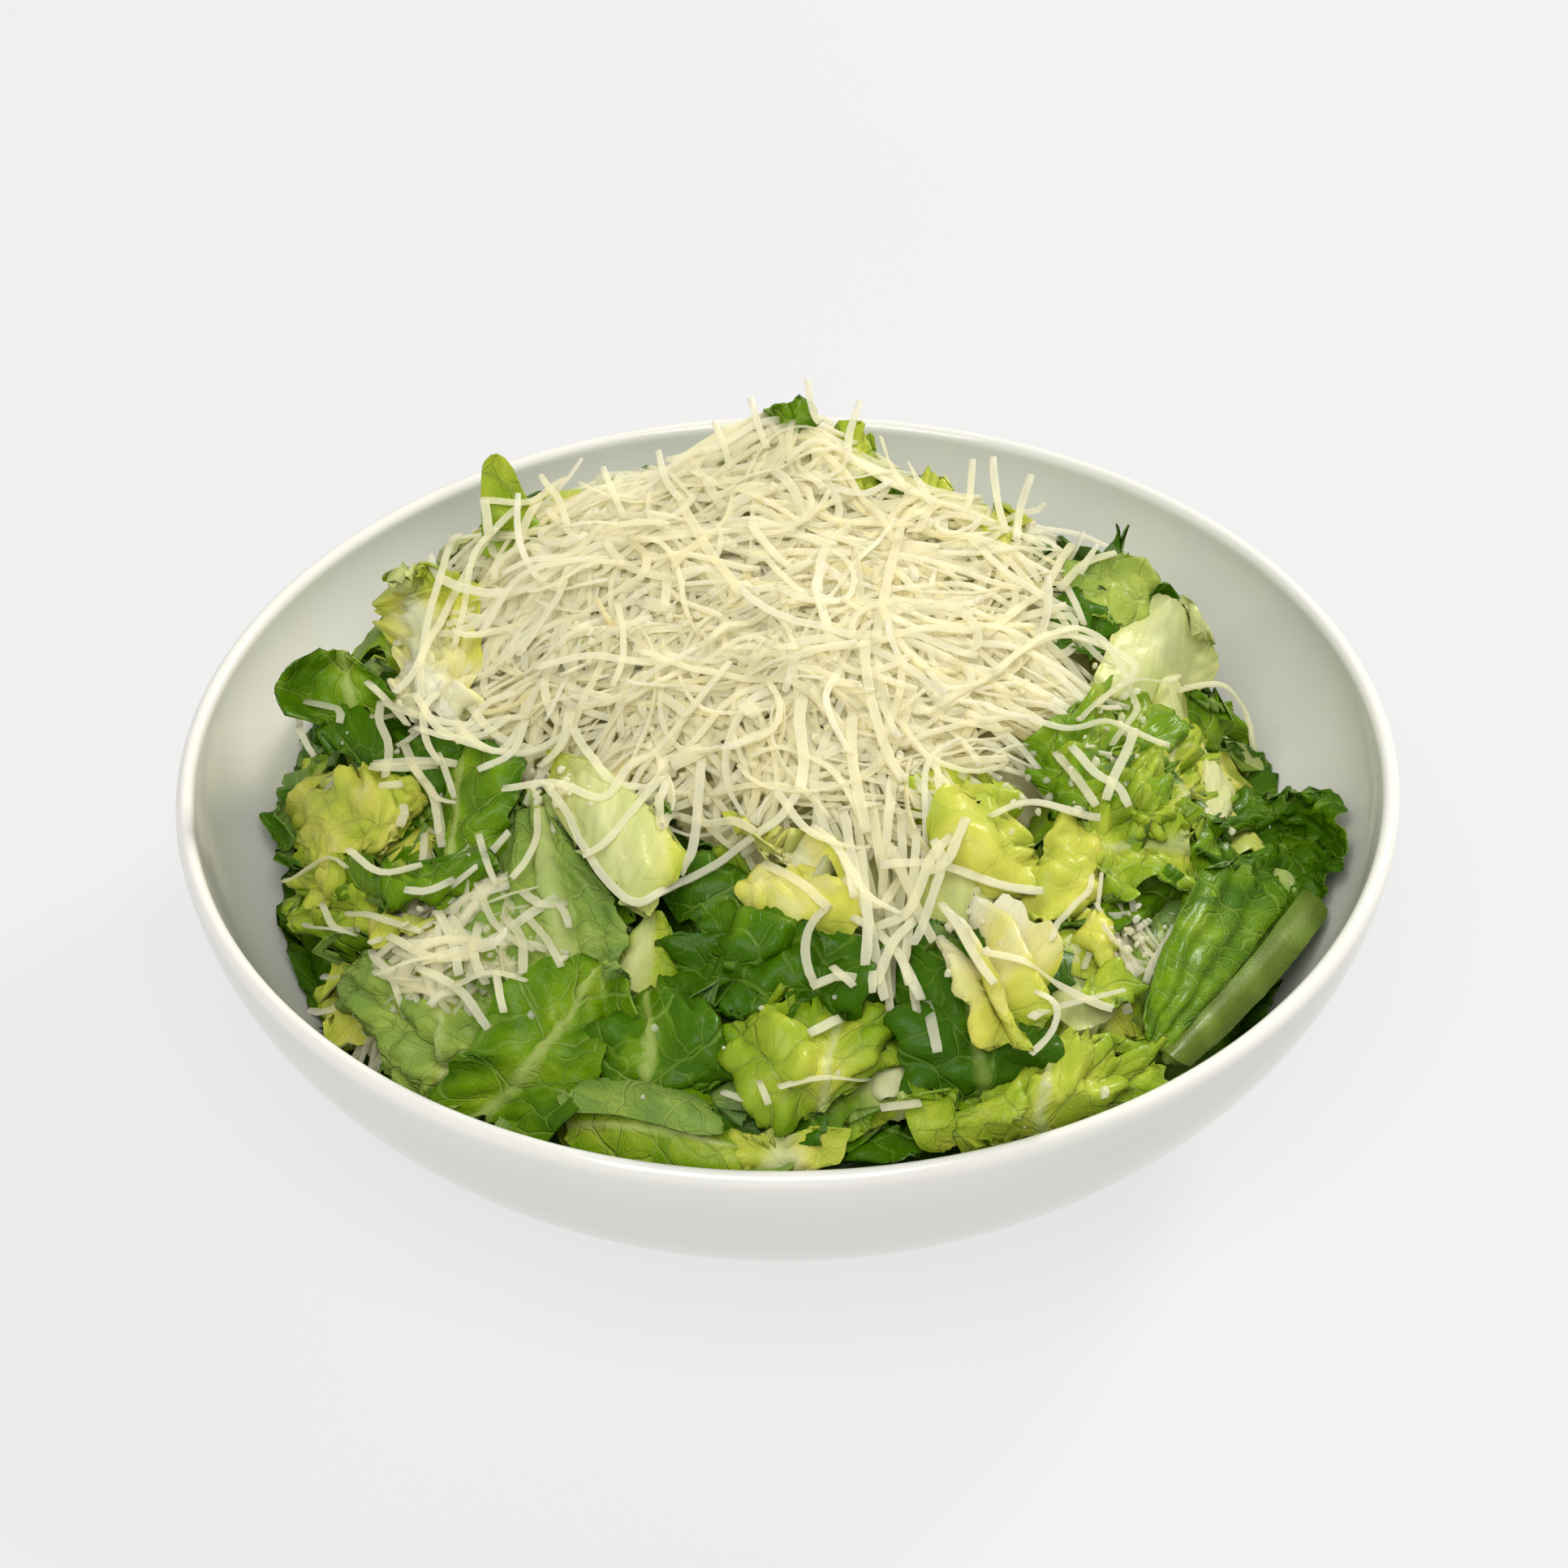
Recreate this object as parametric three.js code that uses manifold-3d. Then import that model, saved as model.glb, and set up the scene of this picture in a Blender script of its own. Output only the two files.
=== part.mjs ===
// Caesar salad heaped in a white porcelain coupe bowl. Millimetres, +Z up.
// The origin is the middle of the foot ring, on the surface that the bowl stands on.
// The salad is a mound of torn romaine with shredded hard cheese strewn over its top.
import * as THREE from 'three';
import { mergeVertices } from 'three/addons/utils/BufferGeometryUtils.js';
import Module from 'manifold-3d';

const wasm = await Module();
wasm.setup();

// ---- driving dimensions -------------------------------------------------
const BOWL_RADIUS = 110;        // outer radius at the rim
const BOWL_HEIGHT = 55;
const RIM_THICKNESS = 3.4;
const FLOOR_TOP = 7;            // height of the well's floor above the table
const FOOT_RADIUS = 55;         // outer radius of the foot ring
const FOOT_WIDTH = 5;
const FOOT_RECESS = 2.5;        // how far the underside inside the ring is raised
const WELL_RADIUS = 50;         // flat part of the well's floor
const WALL_BULGE = 1.5;         // superellipse powers of the wall's section
const WALL_RISE = 1.8;

const PEAK = { x: -4, y: 33 };  // where the romaine is heaped highest
const PEAK_HEIGHT = 81;         // of the romaine there, without its tufts
const HEAP_FULLNESS = 2.1;      // 1 is a cone, 2 a paraboloid
const CHEESE_DEPTH = 7;         // cheese over the leaves at the middle of the mound
const CHEESE_EDGE = 3;          // a layer or two of shreds where the cheese runs out
const GAP = 0.5;                // between things that rest on each other

const SIDES = 64;               // facets round the bowl, shared by all that fills it
const DEG = Math.PI / 180;

// ---- small geometry helpers --------------------------------------------
const mix = (a, b, t) => a + (b - a) * t;

// A value given at evenly spaced headings, carried smoothly round the circle.
function round(values, heading) {
  const n = values.length;
  const place = (((heading / 360) % 1) + 1) % 1 * n;
  const i = Math.floor(place);
  const t = place - i;
  const [a, b, c, d] = [-1, 0, 1, 2].map((k) => values[(i + k + n) % n]);
  return b + 0.5 * t * (c - a + t * (2 * a - 5 * b + 4 * c - d + t * (3 * (b - c) + d - a)));
}

// A closed body from rings of points: the first and the last ring are one point each.
function ringedBody(rings, material, name) {
  const positions = rings.flat().flatMap((p) => [p.x, p.y, p.z]);
  const starts = [];
  let count = 0;
  for (const ring of rings) {
    starts.push(count);
    count += ring.length;
  }
  const faces = [];
  for (let k = 0; k + 1 < rings.length; k += 1) {
    const sides = Math.max(rings[k].length, rings[k + 1].length);
    for (let j = 0; j < sides; j += 1) {
      const next = (j + 1) % sides;
      const [a, b] = rings[k].length > 1 ? [starts[k] + j, starts[k] + next] : [starts[k], starts[k]];
      const [c, d] = rings[k + 1].length > 1
        ? [starts[k + 1] + j, starts[k + 1] + next] : [starts[k + 1], starts[k + 1]];
      if (c !== d) faces.push(a, d, c);
      if (a !== b) faces.push(a, b, d);
    }
  }
  const geometry = new THREE.BufferGeometry();
  geometry.setAttribute('position', new THREE.Float32BufferAttribute(positions, 3));
  geometry.setIndex(faces);
  geometry.computeVertexNormals();
  const mesh = new THREE.Mesh(geometry, material);
  mesh.name = name;
  return mesh;
}

function toSolid(geometry) {
  const bare = geometry.clone();
  bare.deleteAttribute('normal');
  bare.deleteAttribute('uv');
  const merged = mergeVertices(bare, 1e-4);
  return new wasm.Manifold(new wasm.Mesh({
    numProp: 3,
    vertProperties: new Float32Array(merged.attributes.position.array),
    triVerts: new Uint32Array(merged.index.array),
  }));
}

function toGeometry(solid) {
  const { vertProperties, triVerts } = solid.getMesh();
  const geometry = new THREE.BufferGeometry();
  geometry.setAttribute('position', new THREE.Float32BufferAttribute(vertProperties, 3));
  geometry.setIndex(Array.from(triVerts));
  geometry.computeVertexNormals();
  return geometry;
}

// ---- the bowl -------------------------------------------------------------
// The wall's section rises from the foot as a superellipse, nearly upright at the rim.
function wallPoint(angle, base, rim, bottom) {
  return {
    r: base + (rim - base) * Math.sin(angle) ** (2 / WALL_BULGE),
    z: bottom + (BOWL_HEIGHT - bottom) * (1 - Math.cos(angle) ** (2 / WALL_RISE)),
  };
}

const INNER_RIM = BOWL_RADIUS - RIM_THICKNESS;

// The inner wall's radius at a height.
function innerRadius(z) {
  const rise = Math.min(Math.max((z - FLOOR_TOP) / (BOWL_HEIGHT - FLOOR_TOP), 0), 1);
  const angle = Math.acos((1 - rise) ** (WALL_RISE / 2));
  return wallPoint(angle, WELL_RADIUS, INNER_RIM, FLOOR_TOP).r;
}

function makeBowl() {
  const WALL_STEPS = 11;
  const LIP_STEPS = 4;
  const LIP_START = 87 * DEG;   // the section leaves the superellipse here and rounds over
  const points = [
    [0, FOOT_RECESS],
    [FOOT_RADIUS - FOOT_WIDTH - 1.5, FOOT_RECESS],
    [FOOT_RADIUS - FOOT_WIDTH, 0],
    [FOOT_RADIUS, 0],
  ];
  for (let k = 1; k <= WALL_STEPS; k += 1) {
    const p = wallPoint(LIP_START * (k / WALL_STEPS), FOOT_RADIUS, BOWL_RADIUS, 0);
    points.push([p.r, p.z]);
  }
  const outside = wallPoint(LIP_START, FOOT_RADIUS, BOWL_RADIUS, 0);
  const inside = wallPoint(LIP_START, WELL_RADIUS, INNER_RIM, FLOOR_TOP);
  const middle = (outside.r + inside.r) / 2;
  const half = (outside.r - inside.r) / 2;
  for (let k = 1; k < LIP_STEPS; k += 1) {
    const turn = Math.PI * (k / LIP_STEPS);
    const foot = mix(outside.z, inside.z, k / LIP_STEPS);
    points.push([middle + half * Math.cos(turn), foot + (BOWL_HEIGHT - foot) * Math.sin(turn)]);
  }
  for (let k = WALL_STEPS; k >= 0; k -= 1) {
    const p = wallPoint(LIP_START * (k / WALL_STEPS), WELL_RADIUS, INNER_RIM, FLOOR_TOP);
    points.push([p.r, p.z]);
  }
  points.push([0, FLOOR_TOP]);
  const profile = points.map(([r, z]) => new THREE.Vector2(r, z));
  const geometry = new THREE.LatheGeometry(profile, SIDES);
  geometry.rotateX(90 * DEG);
  const porcelain = new THREE.MeshStandardMaterial({ color: 0xf1f0ec, roughness: 0.12, metalness: 0 });
  const mesh = new THREE.Mesh(geometry, porcelain);
  mesh.name = 'bowl';
  return mesh;
}

// ---- the romaine heap -----------------------------------------------------
// Height at which the leaves meet the wall, every 30 degrees from +X counterclockwise.
const WALL_LINE = [31, 27, 30, 36, 38, 37, 31, 31, 41, 50, 48, 33];

// Leaves that stand out of the dome or leave a hollow: centre, spread and height.
const TUFTS = [
  { x: 2, y: 56, spread: 15, height: 12 },      // leaves standing up under the peak
  { x: -50, y: 64, spread: 10, height: 4 },     // upright tip at the back left
  { x: 84, y: 14, spread: 21, height: -21 },    // hollow beside the right wall
  { x: 54, y: 42, spread: 16, height: 7 },      // ruffled leaf at the back right
  { x: 76, y: 30, spread: 12, height: 15 },     // chunks of rib on the right shoulder
  { x: -78, y: 4, spread: 14, height: 7 },      // scalloped leaf on the left
  { x: 56, y: -20, spread: 18, height: 6 },     // ruffled cluster on the right
  { x: 30, y: -38, spread: 12, height: 5 },     // pale lobes in front of the cheese
  { x: -24, y: -42, spread: 14, height: 5 },    // broad rib piece at the front left
  { x: -66, y: -62, spread: 14, height: 6 },    // blistered leaf at the left front
  { x: 40, y: -70, spread: 14, height: 5 },     // leaf tube at the right front
  { x: 2, y: -84, spread: 12, height: 3 },      // savoyed leaf at the front
];

// Leaves lie over each other in folds, so that the whole surface is lumpy.
const RUFFLE_LENGTH = 27;
const RUFFLE_HEIGHT = 2.4;

function ruffle(x, y) {
  const k = (2 * Math.PI) / RUFFLE_LENGTH;
  const across = Math.sin(k * (x + 0.35 * y) + 1.7 * Math.sin(k * 0.45 * y));
  const along = Math.sin(k * (y - 0.3 * x) + 1.3 * Math.sin(k * 0.6 * x + 1));
  return RUFFLE_HEIGHT * across * along;
}

// The rim point of the heap along the line from the peak through (x, y).
function edgeBeyond(x, y) {
  const dx = x - PEAK.x;
  const dy = y - PEAK.y;
  const far = Math.hypot(dx, dy) + 1e-9;
  const [ux, uy] = [dx / far, dy / far];
  const along = PEAK.x * ux + PEAK.y * uy;
  const reach = -along + Math.sqrt(along ** 2 + INNER_RIM ** 2 - PEAK.x ** 2 - PEAK.y ** 2);
  const heading = Math.atan2(PEAK.y + uy * reach, PEAK.x + ux * reach) / DEG;
  return { part: Math.min(far / reach, 1), heading };
}

function greensTop(x, y) {
  const { part, heading } = edgeBeyond(x, y);
  const edge = round(WALL_LINE, heading);
  let z = edge + (PEAK_HEIGHT - edge) * (1 - part ** HEAP_FULLNESS);
  for (const tuft of TUFTS) {
    z += tuft.height * Math.exp(-((x - tuft.x) ** 2 + (y - tuft.y) ** 2) / tuft.spread ** 2);
  }
  return z + ruffle(x, y) * Math.min(1, 3 * (1 - Math.hypot(x, y) / INNER_RIM));
}

function makeRomaine() {
  const TOP_RINGS = 20;
  const WALL_RINGS = 6;
  const rings = [];
  const headings = Array.from({ length: SIDES }, (_, j) => -(360 * j) / SIDES);
  const wallLine = headings.map((h) => round(WALL_LINE, h));
  rings.push([{ x: 0, y: 0, z: greensTop(0, 0) }]);
  for (let k = 1; k <= TOP_RINGS; k += 1) {
    rings.push(headings.map((heading, j) => {
      const edge = innerRadius(wallLine[j]) - GAP;
      const r = edge * (k / TOP_RINGS);
      const [x, y] = [r * Math.cos(heading * DEG), r * Math.sin(heading * DEG)];
      const settle = Math.max(0, (k / TOP_RINGS - 0.85) / 0.15);
      return { x, y, z: mix(greensTop(x, y), wallLine[j], settle) };
    }));
  }
  for (let k = 1; k <= WALL_RINGS; k += 1) {
    rings.push(headings.map((heading, j) => {
      const bottom = FLOOR_TOP + GAP;
      const z = bottom + (wallLine[j] - bottom) * (1 - k / WALL_RINGS) ** 1.6;
      const r = innerRadius(z) - 2 * GAP;
      return { x: r * Math.cos(heading * DEG), y: r * Math.sin(heading * DEG), z };
    }));
  }
  rings.push([{ x: 0, y: 0, z: FLOOR_TOP + GAP }]);
  const leaf = new THREE.MeshStandardMaterial({ color: 0x7d9a3c, roughness: 0.45, metalness: 0 });
  return ringedBody(rings, leaf, 'romaine_heap');
}

// ---- the shredded cheese ---------------------------------------------------
// A drift of shreds lies on the leaves and is heaped above them: what would be inside
// the leaves is cut away. reach is how far it runs from its middle, at even headings
// from +X counterclockwise.
const ROOT_DEPTH = 8;           // how far the uncut drift runs down into the leaves

function makeCheese(name, drift, leaves) {
  const headings = Array.from({ length: drift.sides }, (_, j) => -(360 * j) / drift.sides);
  const spot = (heading, part) => {
    const r = round(drift.reach, heading) * part;
    return [drift.x + r * Math.cos(heading * DEG), drift.y + r * Math.sin(heading * DEG)];
  };
  const depth = (x, y, part) => {
    const heap = mix(drift.depth, CHEESE_EDGE, part ** 1.6);
    return heap * (1 + 0.2 * Math.sin(x / 3.1 + y / 5.3) * Math.sin(y / 3.7 - x / 6.1));
  };
  const top = (x, y, part) => ({ x, y, z: greensTop(x, y) + depth(x, y, part) });
  const root = (x, y) => ({ x, y, z: greensTop(x, y) - ROOT_DEPTH });
  const rings = [[top(drift.x, drift.y, 0)]];
  for (let k = 1; k <= drift.rings; k += 1) {
    const part = k / drift.rings;
    rings.push(headings.map((heading) => top(...spot(heading, part), part)));
  }
  rings.push(headings.map((heading) => root(...spot(heading, 1))));
  rings.push([root(drift.x, drift.y)]);
  const cheese = new THREE.MeshStandardMaterial({ color: 0xf3e3bb, roughness: 0.5, metalness: 0 });
  const mesh = ringedBody(rings, cheese, name);
  const pieces = toSolid(mesh.geometry).subtract(leaves.translate([0, 0, GAP])).decompose();
  pieces.sort((a, b) => b.volume() - a.volume());
  mesh.geometry = toGeometry(pieces[0].simplify(0.05));
  return mesh;
}

const MOUND = {
  x: -5, y: 15, depth: CHEESE_DEPTH, sides: 36, rings: 9,
  reach: [63, 62, 58, 50, 49, 50, 58, 66, 67, 60, 48, 50, 62, 86, 68, 61],
};
const LEFT_CLUMP = {
  x: -61, y: -52, depth: 4.5, sides: 16, rings: 3, reach: [22, 16, 16, 15, 13, 11, 14, 21],
};
const RIGHT_CLUMP = {
  x: 57, y: -56, depth: 3.5, sides: 12, rings: 2, reach: [9, 8, 8, 8, 9, 10, 9, 9],
};

const salad = new THREE.Group();
const romaine = makeRomaine();
const leaves = toSolid(romaine.geometry);
salad.add(makeBowl());
salad.add(romaine);
salad.add(makeCheese('cheese_mound', MOUND, leaves));
salad.add(makeCheese('cheese_clump_left', LEFT_CLUMP, leaves));
salad.add(makeCheese('cheese_clump_right', RIGHT_CLUMP, leaves));

export default salad;
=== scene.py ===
"""A caesar salad heaped in a white porcelain bowl: torn romaine under shredded hard cheese.

Metres, +Z up. Leaves and shreds are worked out in millimetres and turned to metres last.
"""

import itertools
import math

import bpy
import numpy as np
from mathutils import Matrix, Vector
from mathutils.bvhtree import BVHTree


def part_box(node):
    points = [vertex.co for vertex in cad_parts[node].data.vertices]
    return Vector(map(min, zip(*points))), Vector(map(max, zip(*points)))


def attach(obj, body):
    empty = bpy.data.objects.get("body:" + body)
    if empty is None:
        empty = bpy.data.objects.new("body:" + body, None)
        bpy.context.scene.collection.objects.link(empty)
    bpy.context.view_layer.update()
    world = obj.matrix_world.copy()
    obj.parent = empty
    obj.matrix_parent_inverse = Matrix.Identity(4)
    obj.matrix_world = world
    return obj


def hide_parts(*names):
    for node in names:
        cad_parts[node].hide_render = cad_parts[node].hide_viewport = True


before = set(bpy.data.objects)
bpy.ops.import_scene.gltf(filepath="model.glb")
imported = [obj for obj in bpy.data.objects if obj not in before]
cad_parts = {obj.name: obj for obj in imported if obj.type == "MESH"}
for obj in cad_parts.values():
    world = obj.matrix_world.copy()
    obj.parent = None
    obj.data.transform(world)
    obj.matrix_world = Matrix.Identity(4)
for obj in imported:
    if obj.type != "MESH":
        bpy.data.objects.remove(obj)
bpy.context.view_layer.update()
MM = 0.001

# ---------------------------------------------------------------------------------------
# Table, daylight and viewpoint.
# An opal white table that glows softly, under a softbox low at the back right and a
# bright room, looked at from 39 degrees above as a person about to eat does.

EYE = np.array([-0.66, -854.1, 737.4])      # mm from the middle of the bowl's foot
LOOK_DOWN = math.radians(38.79)
HEAD_TILT = math.radians(-0.91)
LENS = 139.75                               # mm
SENSOR = 36                                 # mm across the picture
PICTURE = 1932                              # pixels across it
REACH = LENS / SENSOR * PICTURE             # pixels from the eye to the picture

eye_forward = np.array([0, math.cos(LOOK_DOWN), -math.sin(LOOK_DOWN)])
level_right = np.array([1.0, 0, 0])
level_up = np.array([0, math.sin(LOOK_DOWN), math.cos(LOOK_DOWN)])
eye_right = level_right * math.cos(HEAD_TILT) + level_up * math.sin(HEAD_TILT)
eye_up = level_up * math.cos(HEAD_TILT) - level_right * math.sin(HEAD_TILT)
eye_axes = np.stack([eye_right, eye_up, -eye_forward], 1)

camera_data = bpy.data.cameras.new("eye")
camera_data.lens = LENS
camera_data.sensor_width = SENSOR
camera_data.clip_start = 0.05
camera_data.clip_end = 50
camera = bpy.data.objects.new("eye", camera_data)
bpy.context.scene.collection.objects.link(camera)
camera.matrix_world = Matrix.Translation(EYE * MM) @ Matrix(eye_axes.tolist()).to_4x4()
bpy.context.scene.camera = camera
bpy.context.scene.view_settings.view_transform = "Standard"


def sight_line(pixel):
    """Where a line of sight starts and which way it goes, for a pixel of the picture."""
    x, y = pixel
    line = eye_forward * REACH + eye_right * (x - PICTURE / 2) - eye_up * (y - PICTURE / 2)
    return EYE, line / np.linalg.norm(line)


def seen_at(spots):
    """The pixels that spots in mm are seen at."""
    away = spots - EYE
    reach = REACH / (away @ eye_forward)
    return np.stack([PICTURE / 2 + reach * (away @ eye_right),
                     PICTURE / 2 - reach * (away @ eye_up)], -1)


def linear(colour):
    """An sRGB hex colour as linear RGBA."""
    parts = [int(colour[i:i + 2], 16) / 255 for i in (1, 3, 5)]
    return [c / 12.92 if c <= 0.04045 else ((c + 0.055) / 1.055) ** 2.4 for c in parts] + [1]


def add(tree, kind, sockets=None, stops=None, **settings):
    """Adds a shader or geometry node with its settings, its values and its links.

    A node given as a value is linked by its first output in use. stops are a colour
    ramp's places, each with a hex colour or a grey level."""
    made = tree.nodes.new(kind)
    for name, value in settings.items():
        setattr(made, name, value)
    for name, value in (sockets or {}).items():
        socket = made.inputs[name]
        if isinstance(value, bpy.types.Node):
            value = next(output for output in value.outputs if output.enabled)
        if isinstance(value, bpy.types.NodeSocket):
            tree.links.new(value, socket)
        elif isinstance(value, str) and value.startswith("#"):
            socket.default_value = linear(value)
        else:
            socket.default_value = value
    if stops:
        band = made.color_ramp.elements
        while len(band) < len(stops):
            band.new(0.5)
        for element, (place, colour) in zip(band, stops):
            element.position = place
            element.color = linear(colour) if isinstance(colour, str) else [colour] * 3 + [1]
    return made


def new_material(name):
    """An empty material: its node tree and its output node."""
    material = bpy.data.materials.new(name)
    material.use_nodes = True
    tree = material.node_tree
    tree.nodes.clear()
    return material, tree, tree.nodes.new("ShaderNodeOutputMaterial")


def opal_table():
    """Opal acrylic lit from below: white, matt and nearly free of shadows."""
    material, tree, out = new_material("opal_acrylic")
    place = add(tree, "ShaderNodeTexCoord").outputs["Object"]
    cloud = add(tree, "ShaderNodeTexNoise", {"Vector": place, "Scale": 4.0})
    colour = add(tree, "ShaderNodeValToRGB", {0: cloud}, stops=[(0.3, "#606061"), (0.7, "#646464")])
    shader = add(tree, "ShaderNodeBsdfPrincipled", {
        "Base Color": colour, "Roughness": 0.6, "Specular IOR Level": 0.15,
        "Emission Color": "#FFFFFF", "Emission Strength": 0.7})
    tree.links.new(shader.outputs[0], out.inputs["Surface"])
    return material


def mesh_piece(name, points, faces, material, layers=None, smooth=True):
    """A mesh object from points in mm and faces of one size, with named point layers."""
    mesh = bpy.data.meshes.new(name)
    points = np.asarray(points, np.float32) * np.float32(MM)
    faces = np.asarray(faces, np.int32)
    mesh.vertices.add(len(points))
    mesh.vertices.foreach_set("co", points.ravel())
    mesh.loops.add(faces.size)
    mesh.loops.foreach_set("vertex_index", faces.ravel())
    mesh.polygons.add(len(faces))
    mesh.polygons.foreach_set("loop_start", np.arange(len(faces), dtype=np.int32) * faces.shape[1])
    mesh.polygons.foreach_set("use_smooth", np.full(len(faces), smooth))
    for layer, values in (layers or {}).items():
        values = np.asarray(values, np.float32)
        kind = "FLOAT" if values.ndim == 1 else "FLOAT_VECTOR"
        made = mesh.attributes.new(layer, kind, "POINT")
        made.data.foreach_set("value" if values.ndim == 1 else "vector", values.ravel())
    mesh.update(calc_edges=True)
    mesh.materials.append(material)
    piece = bpy.data.objects.new(name, mesh)
    bpy.context.scene.collection.objects.link(piece)
    return piece


TABLE_HALF = 6000                           # mm from its middle to its edges
table_corners = [(TABLE_HALF * x, TABLE_HALF * y, 0) for x, y in ((-1, -1), (1, -1), (1, 1), (-1, 1))]
table = mesh_piece("table", table_corners, [(0, 1, 2, 3)], opal_table())


def softbox(name, place, aim, size, watts, colour):
    """A square soft light at a place in metres, turned to its aim."""
    light = bpy.data.lights.new(name, "AREA")
    light.size = size
    light.energy = watts
    light.color = linear(colour)[:3]
    lamp = bpy.data.objects.new(name, light)
    lamp.location = place
    lamp.rotation_euler = (Vector(aim) - Vector(place)).to_track_quat("-Z", "Y").to_euler()
    bpy.context.scene.collection.objects.link(lamp)


SALAD_PLACE = (0, 0, 0.05)                  # metres; what both lamps are turned to
softbox("window_back_right", (1.08, 1.08, 0.98), SALAD_PLACE, size=0.40, watts=24, colour="#FFFAF0")
softbox("ceiling_panel", (-0.15, -1.0, 1.8), SALAD_PLACE, size=1.5, watts=35, colour="#FFFEFA")

world = bpy.data.worlds.new("bright_room")
bpy.context.scene.world = world
world.use_nodes = True
room = world.node_tree
room.nodes.clear()
room_light = add(room, "ShaderNodeBackground", {"Color": "#FBFCFF", "Strength": 0.405})
room_out = add(room, "ShaderNodeOutputWorld")
room.links.new(room_light.outputs["Background"], room_out.inputs["Surface"])

# ---------------------------------------------------------------------------------------
# The bowl.
# Hard-paste porcelain, pressed to a coupe shape about 4 mm thick, dipped in clear glaze
# and fired; the foot ring, on which it stood in the kiln and which was ground bare, has the same glaze here
# as the rest.

bowl_low, bowl_high = (np.array(corner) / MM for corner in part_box("bowl"))
BOWL_R = (bowl_high[0] - bowl_low[0]) / 2
BOWL_H = bowl_high[2]
RIM_THICK = 3.4
FOOT_R = 0.5 * BOWL_R
FOOT_WIDE = 5.0
FOOT_RECESS = 2.5
FOOT_ROUND = 0.6
WELL_FLOOR = 7.0
WELL_R = 50.0
WALL_BULGE = 1.5                            # superellipse powers of the wall's section
WALL_RISE = 1.8
WALL_END = math.radians(87)                 # where on the section the lip takes over
WALL_STEPS, LIP_STEPS, BOWL_SIDES = 60, 11, 256


def wall_section(angle, base, rim, bottom):
    """Radius and height along the wall's section, from the foot (0) to the rim (pi/2)."""
    r = base + (rim - base) * np.sin(angle) ** (2 / WALL_BULGE)
    z = bottom + (BOWL_H - bottom) * (1 - np.cos(angle) ** (2 / WALL_RISE))
    return r, z


def well_radius(z):
    """The inner wall's radius at a height in mm."""
    rise = np.clip((z - WELL_FLOOR) / (BOWL_H - WELL_FLOOR), 0, 1)
    angle = np.arccos((1 - rise) ** (WALL_RISE / 2))
    return wall_section(angle, WELL_R, BOWL_R - RIM_THICK, WELL_FLOOR)[0]


def glazed_porcelain():
    """White body under clear glaze: sharp reflections, broken by the glaze's slow waves.

    Its tone drifts over 45 mm, pinholes lie 11 mm apart and the waves are 20 mm long."""
    material, tree, out = new_material("glazed_porcelain")
    place = add(tree, "ShaderNodeTexCoord").outputs["Object"]
    cloud = add(tree, "ShaderNodeTexNoise", {"Vector": place, "Scale": 1 / 0.045, "Detail": 3.0})
    body = add(tree, "ShaderNodeValToRGB", {0: cloud}, stops=[(0.25, "#DEDDD6"), (0.75, "#E4E2DC")])
    speck = add(tree, "ShaderNodeTexVoronoi", {"Vector": place, "Scale": 1 / 0.011})
    pinhole = add(tree, "ShaderNodeValToRGB", {0: speck}, stops=[(0.012, 0.82), (0.03, 1.0)])
    dotted = add(tree, "ShaderNodeMix", {0: 1.0, 6: body, 7: pinhole},
                 data_type="RGBA", blend_type="MULTIPLY")
    gloss = add(tree, "ShaderNodeValToRGB", {0: cloud}, stops=[(0.3, 0.07), (0.75, 0.14)])
    wave = add(tree, "ShaderNodeTexNoise", {"Vector": place, "Scale": 1 / 0.02})
    bump = add(tree, "ShaderNodeBump", {"Strength": 0.12, "Distance": 0.0006, "Height": wave})
    shader = add(tree, "ShaderNodeBsdfPrincipled", {
        "Base Color": dotted, "Roughness": gloss, "IOR": 1.52, "Normal": bump})
    tree.links.new(shader.outputs[0], out.inputs["Surface"])
    return material


def turned(profile, sides):
    """Points and faces of a body turned about Z, from (r, z) pairs between two axis points."""
    profile = np.asarray(profile)
    heading = np.arange(sides) / sides * 2 * math.pi
    r, z = profile[1:-1, 0], profile[1:-1, 1]
    points = np.stack([np.outer(np.cos(heading), r), np.outer(np.sin(heading), r),
                       np.broadcast_to(z, (sides, len(z)))], -1).reshape(-1, 3)
    rows, total = len(r), len(points)
    j, i = np.meshgrid(np.arange(sides), np.arange(rows - 1), indexing="ij")
    here, over = j * rows + i, (j + 1) % sides * rows + i
    walls = np.stack([here, over, over + 1, here + 1], -1).reshape(-1, 4)
    start = np.arange(sides) * rows
    after = np.roll(start, -1)
    ends = [np.stack([after, start, np.full(sides, total)], -1),
            np.stack([start, after, np.full(sides, total + 1)], -1) + [rows - 1, rows - 1, 0]]
    triangles = np.concatenate([walls[:, [0, 1, 2]], walls[:, [0, 2, 3]], *ends])
    centres = [(0, 0, profile[0, 1]), (0, 0, profile[-1, 1])]
    return np.concatenate([points, centres]), triangles


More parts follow.
